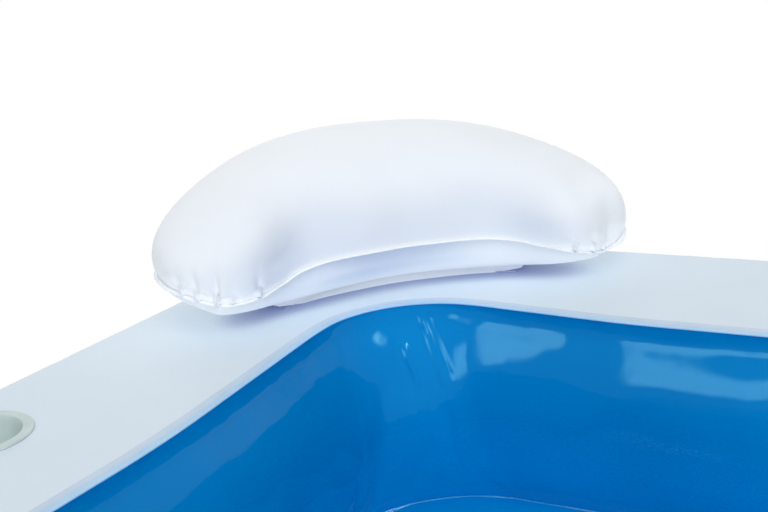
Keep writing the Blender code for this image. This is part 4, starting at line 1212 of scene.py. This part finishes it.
def addSoftbox(name, target, azimuth, elevation, away, size, power, edge):
    data = bpy.data.lights.new(name, "AREA")
    data.shape = "RECTANGLE"
    data.size, data.size_y = size
    data.energy = power
    # a real softbox is brightest in its middle: the cloth fades towards the frame
    data.use_nodes = True
    tree = data.node_tree
    tree.nodes.clear()
    place = addNode(tree, "NewGeometry").outputs["Parametric"]
    centred = addNode(tree, "VectorMath", {"operation": "SUBTRACT", 1: (0.5, 0.5, 0.0)}, {0: place})
    sides = addNode(tree, "SeparateXYZ", links={"Vector": centred.outputs["Vector"]})
    fades = []
    for side in ("X", "Y"):
        distance = addNode(tree, "Math", {"operation": "ABSOLUTE"}, {0: sides.outputs[side]})
        limits = {"interpolation_type": "SMOOTHSTEP", "From Min": 0.5, "From Max": 0.5 - edge / 2}
        fades.append(addNode(tree, "MapRange", limits, {"Value": distance.outputs[0]}).outputs["Result"])
    level = addNode(tree, "Math", {"operation": "MULTIPLY"}, {0: fades[0], 1: fades[1]})
    glow = addNode(tree, "Emission", {"Color": (1, 1, 1, 1)}, {"Strength": level.outputs[0]})
    addNode(tree, "OutputLight", links={"Surface": glow.outputs[0]})
    lamp = addObject(name, data)
    lamp.visible_diffuse = False
    aim = towards(azimuth, elevation)
    lamp.location = Vector(target) + aim * away
    lamp.rotation_euler = aim.to_track_quat("Z", "Y").to_euler()


def addSkyLamp(name, azimuth, elevation, level, shadow=False, colour="#FFFFFF"):
    data = bpy.data.lights.new(name, "SUN")
    data.color = tone(colour)[:3]
    data.energy = level * math.pi
    data.angle = math.radians(studio["skyAngle"])
    data.use_shadow = shadow
    lamp = addObject(name, data)
    lamp.visible_glossy = False
    lamp.rotation_euler = towards(azimuth, elevation).to_track_quat("Z", "Y").to_euler()


makeFloorStage()
makeWorld()
for name, lamp in studio["softboxes"].items():
    addSoftbox(name + "Softbox", *lamp)
for name, lamp in studio["skyLamps"].items():
    addSkyLamp(name + "SkyLamp", **lamp)

shot = {
    # the eye in metres from the corner of the deck's visible edges, which lie this far round the shoulder
    "eye": (1.071, -1.602, 0.483), "edgeTurn": 12,
    "heading": (-0.518, 0.855), "pitch": 15.30, "roll": 5.05, "lens": 1309 / 768 * 36, "sensor": 36,
}


def makeCamera():
    inside = ring["shoulder"] * (1 - math.sin(math.radians(shot["edgeTurn"]))) * mm
    corner = Vector((-(ring["halfX"] * mm - inside), ring["halfY"] * mm - inside, ring["deckTop"] * mm))
    heading, up = Vector((*shot["heading"], 0)).normalized(), Vector((0, 0, 1))
    right = Vector((heading.y, -heading.x, 0))
    pitch, roll = math.radians(shot["pitch"]), math.radians(shot["roll"])
    ahead = heading * math.cos(pitch) - up * math.sin(pitch)
    over = heading * math.sin(pitch) + up * math.cos(pitch)
    x = right * math.cos(roll) - over * math.sin(roll)
    y = right * math.sin(roll) + over * math.cos(roll)
    data = bpy.data.cameras.new("photoCamera")
    data.lens, data.sensor_width = shot["lens"], shot["sensor"]
    camera = addObject("photoCamera", data)
    turn = Matrix((x, y, -ahead)).transposed().to_4x4()
    camera.matrix_world = Matrix.Translation(corner + Vector(shot["eye"])) @ turn
    bpy.context.scene.camera = camera


makeCamera()
bpy.context.scene.view_settings.view_transform = "Standard"
print("studio made")
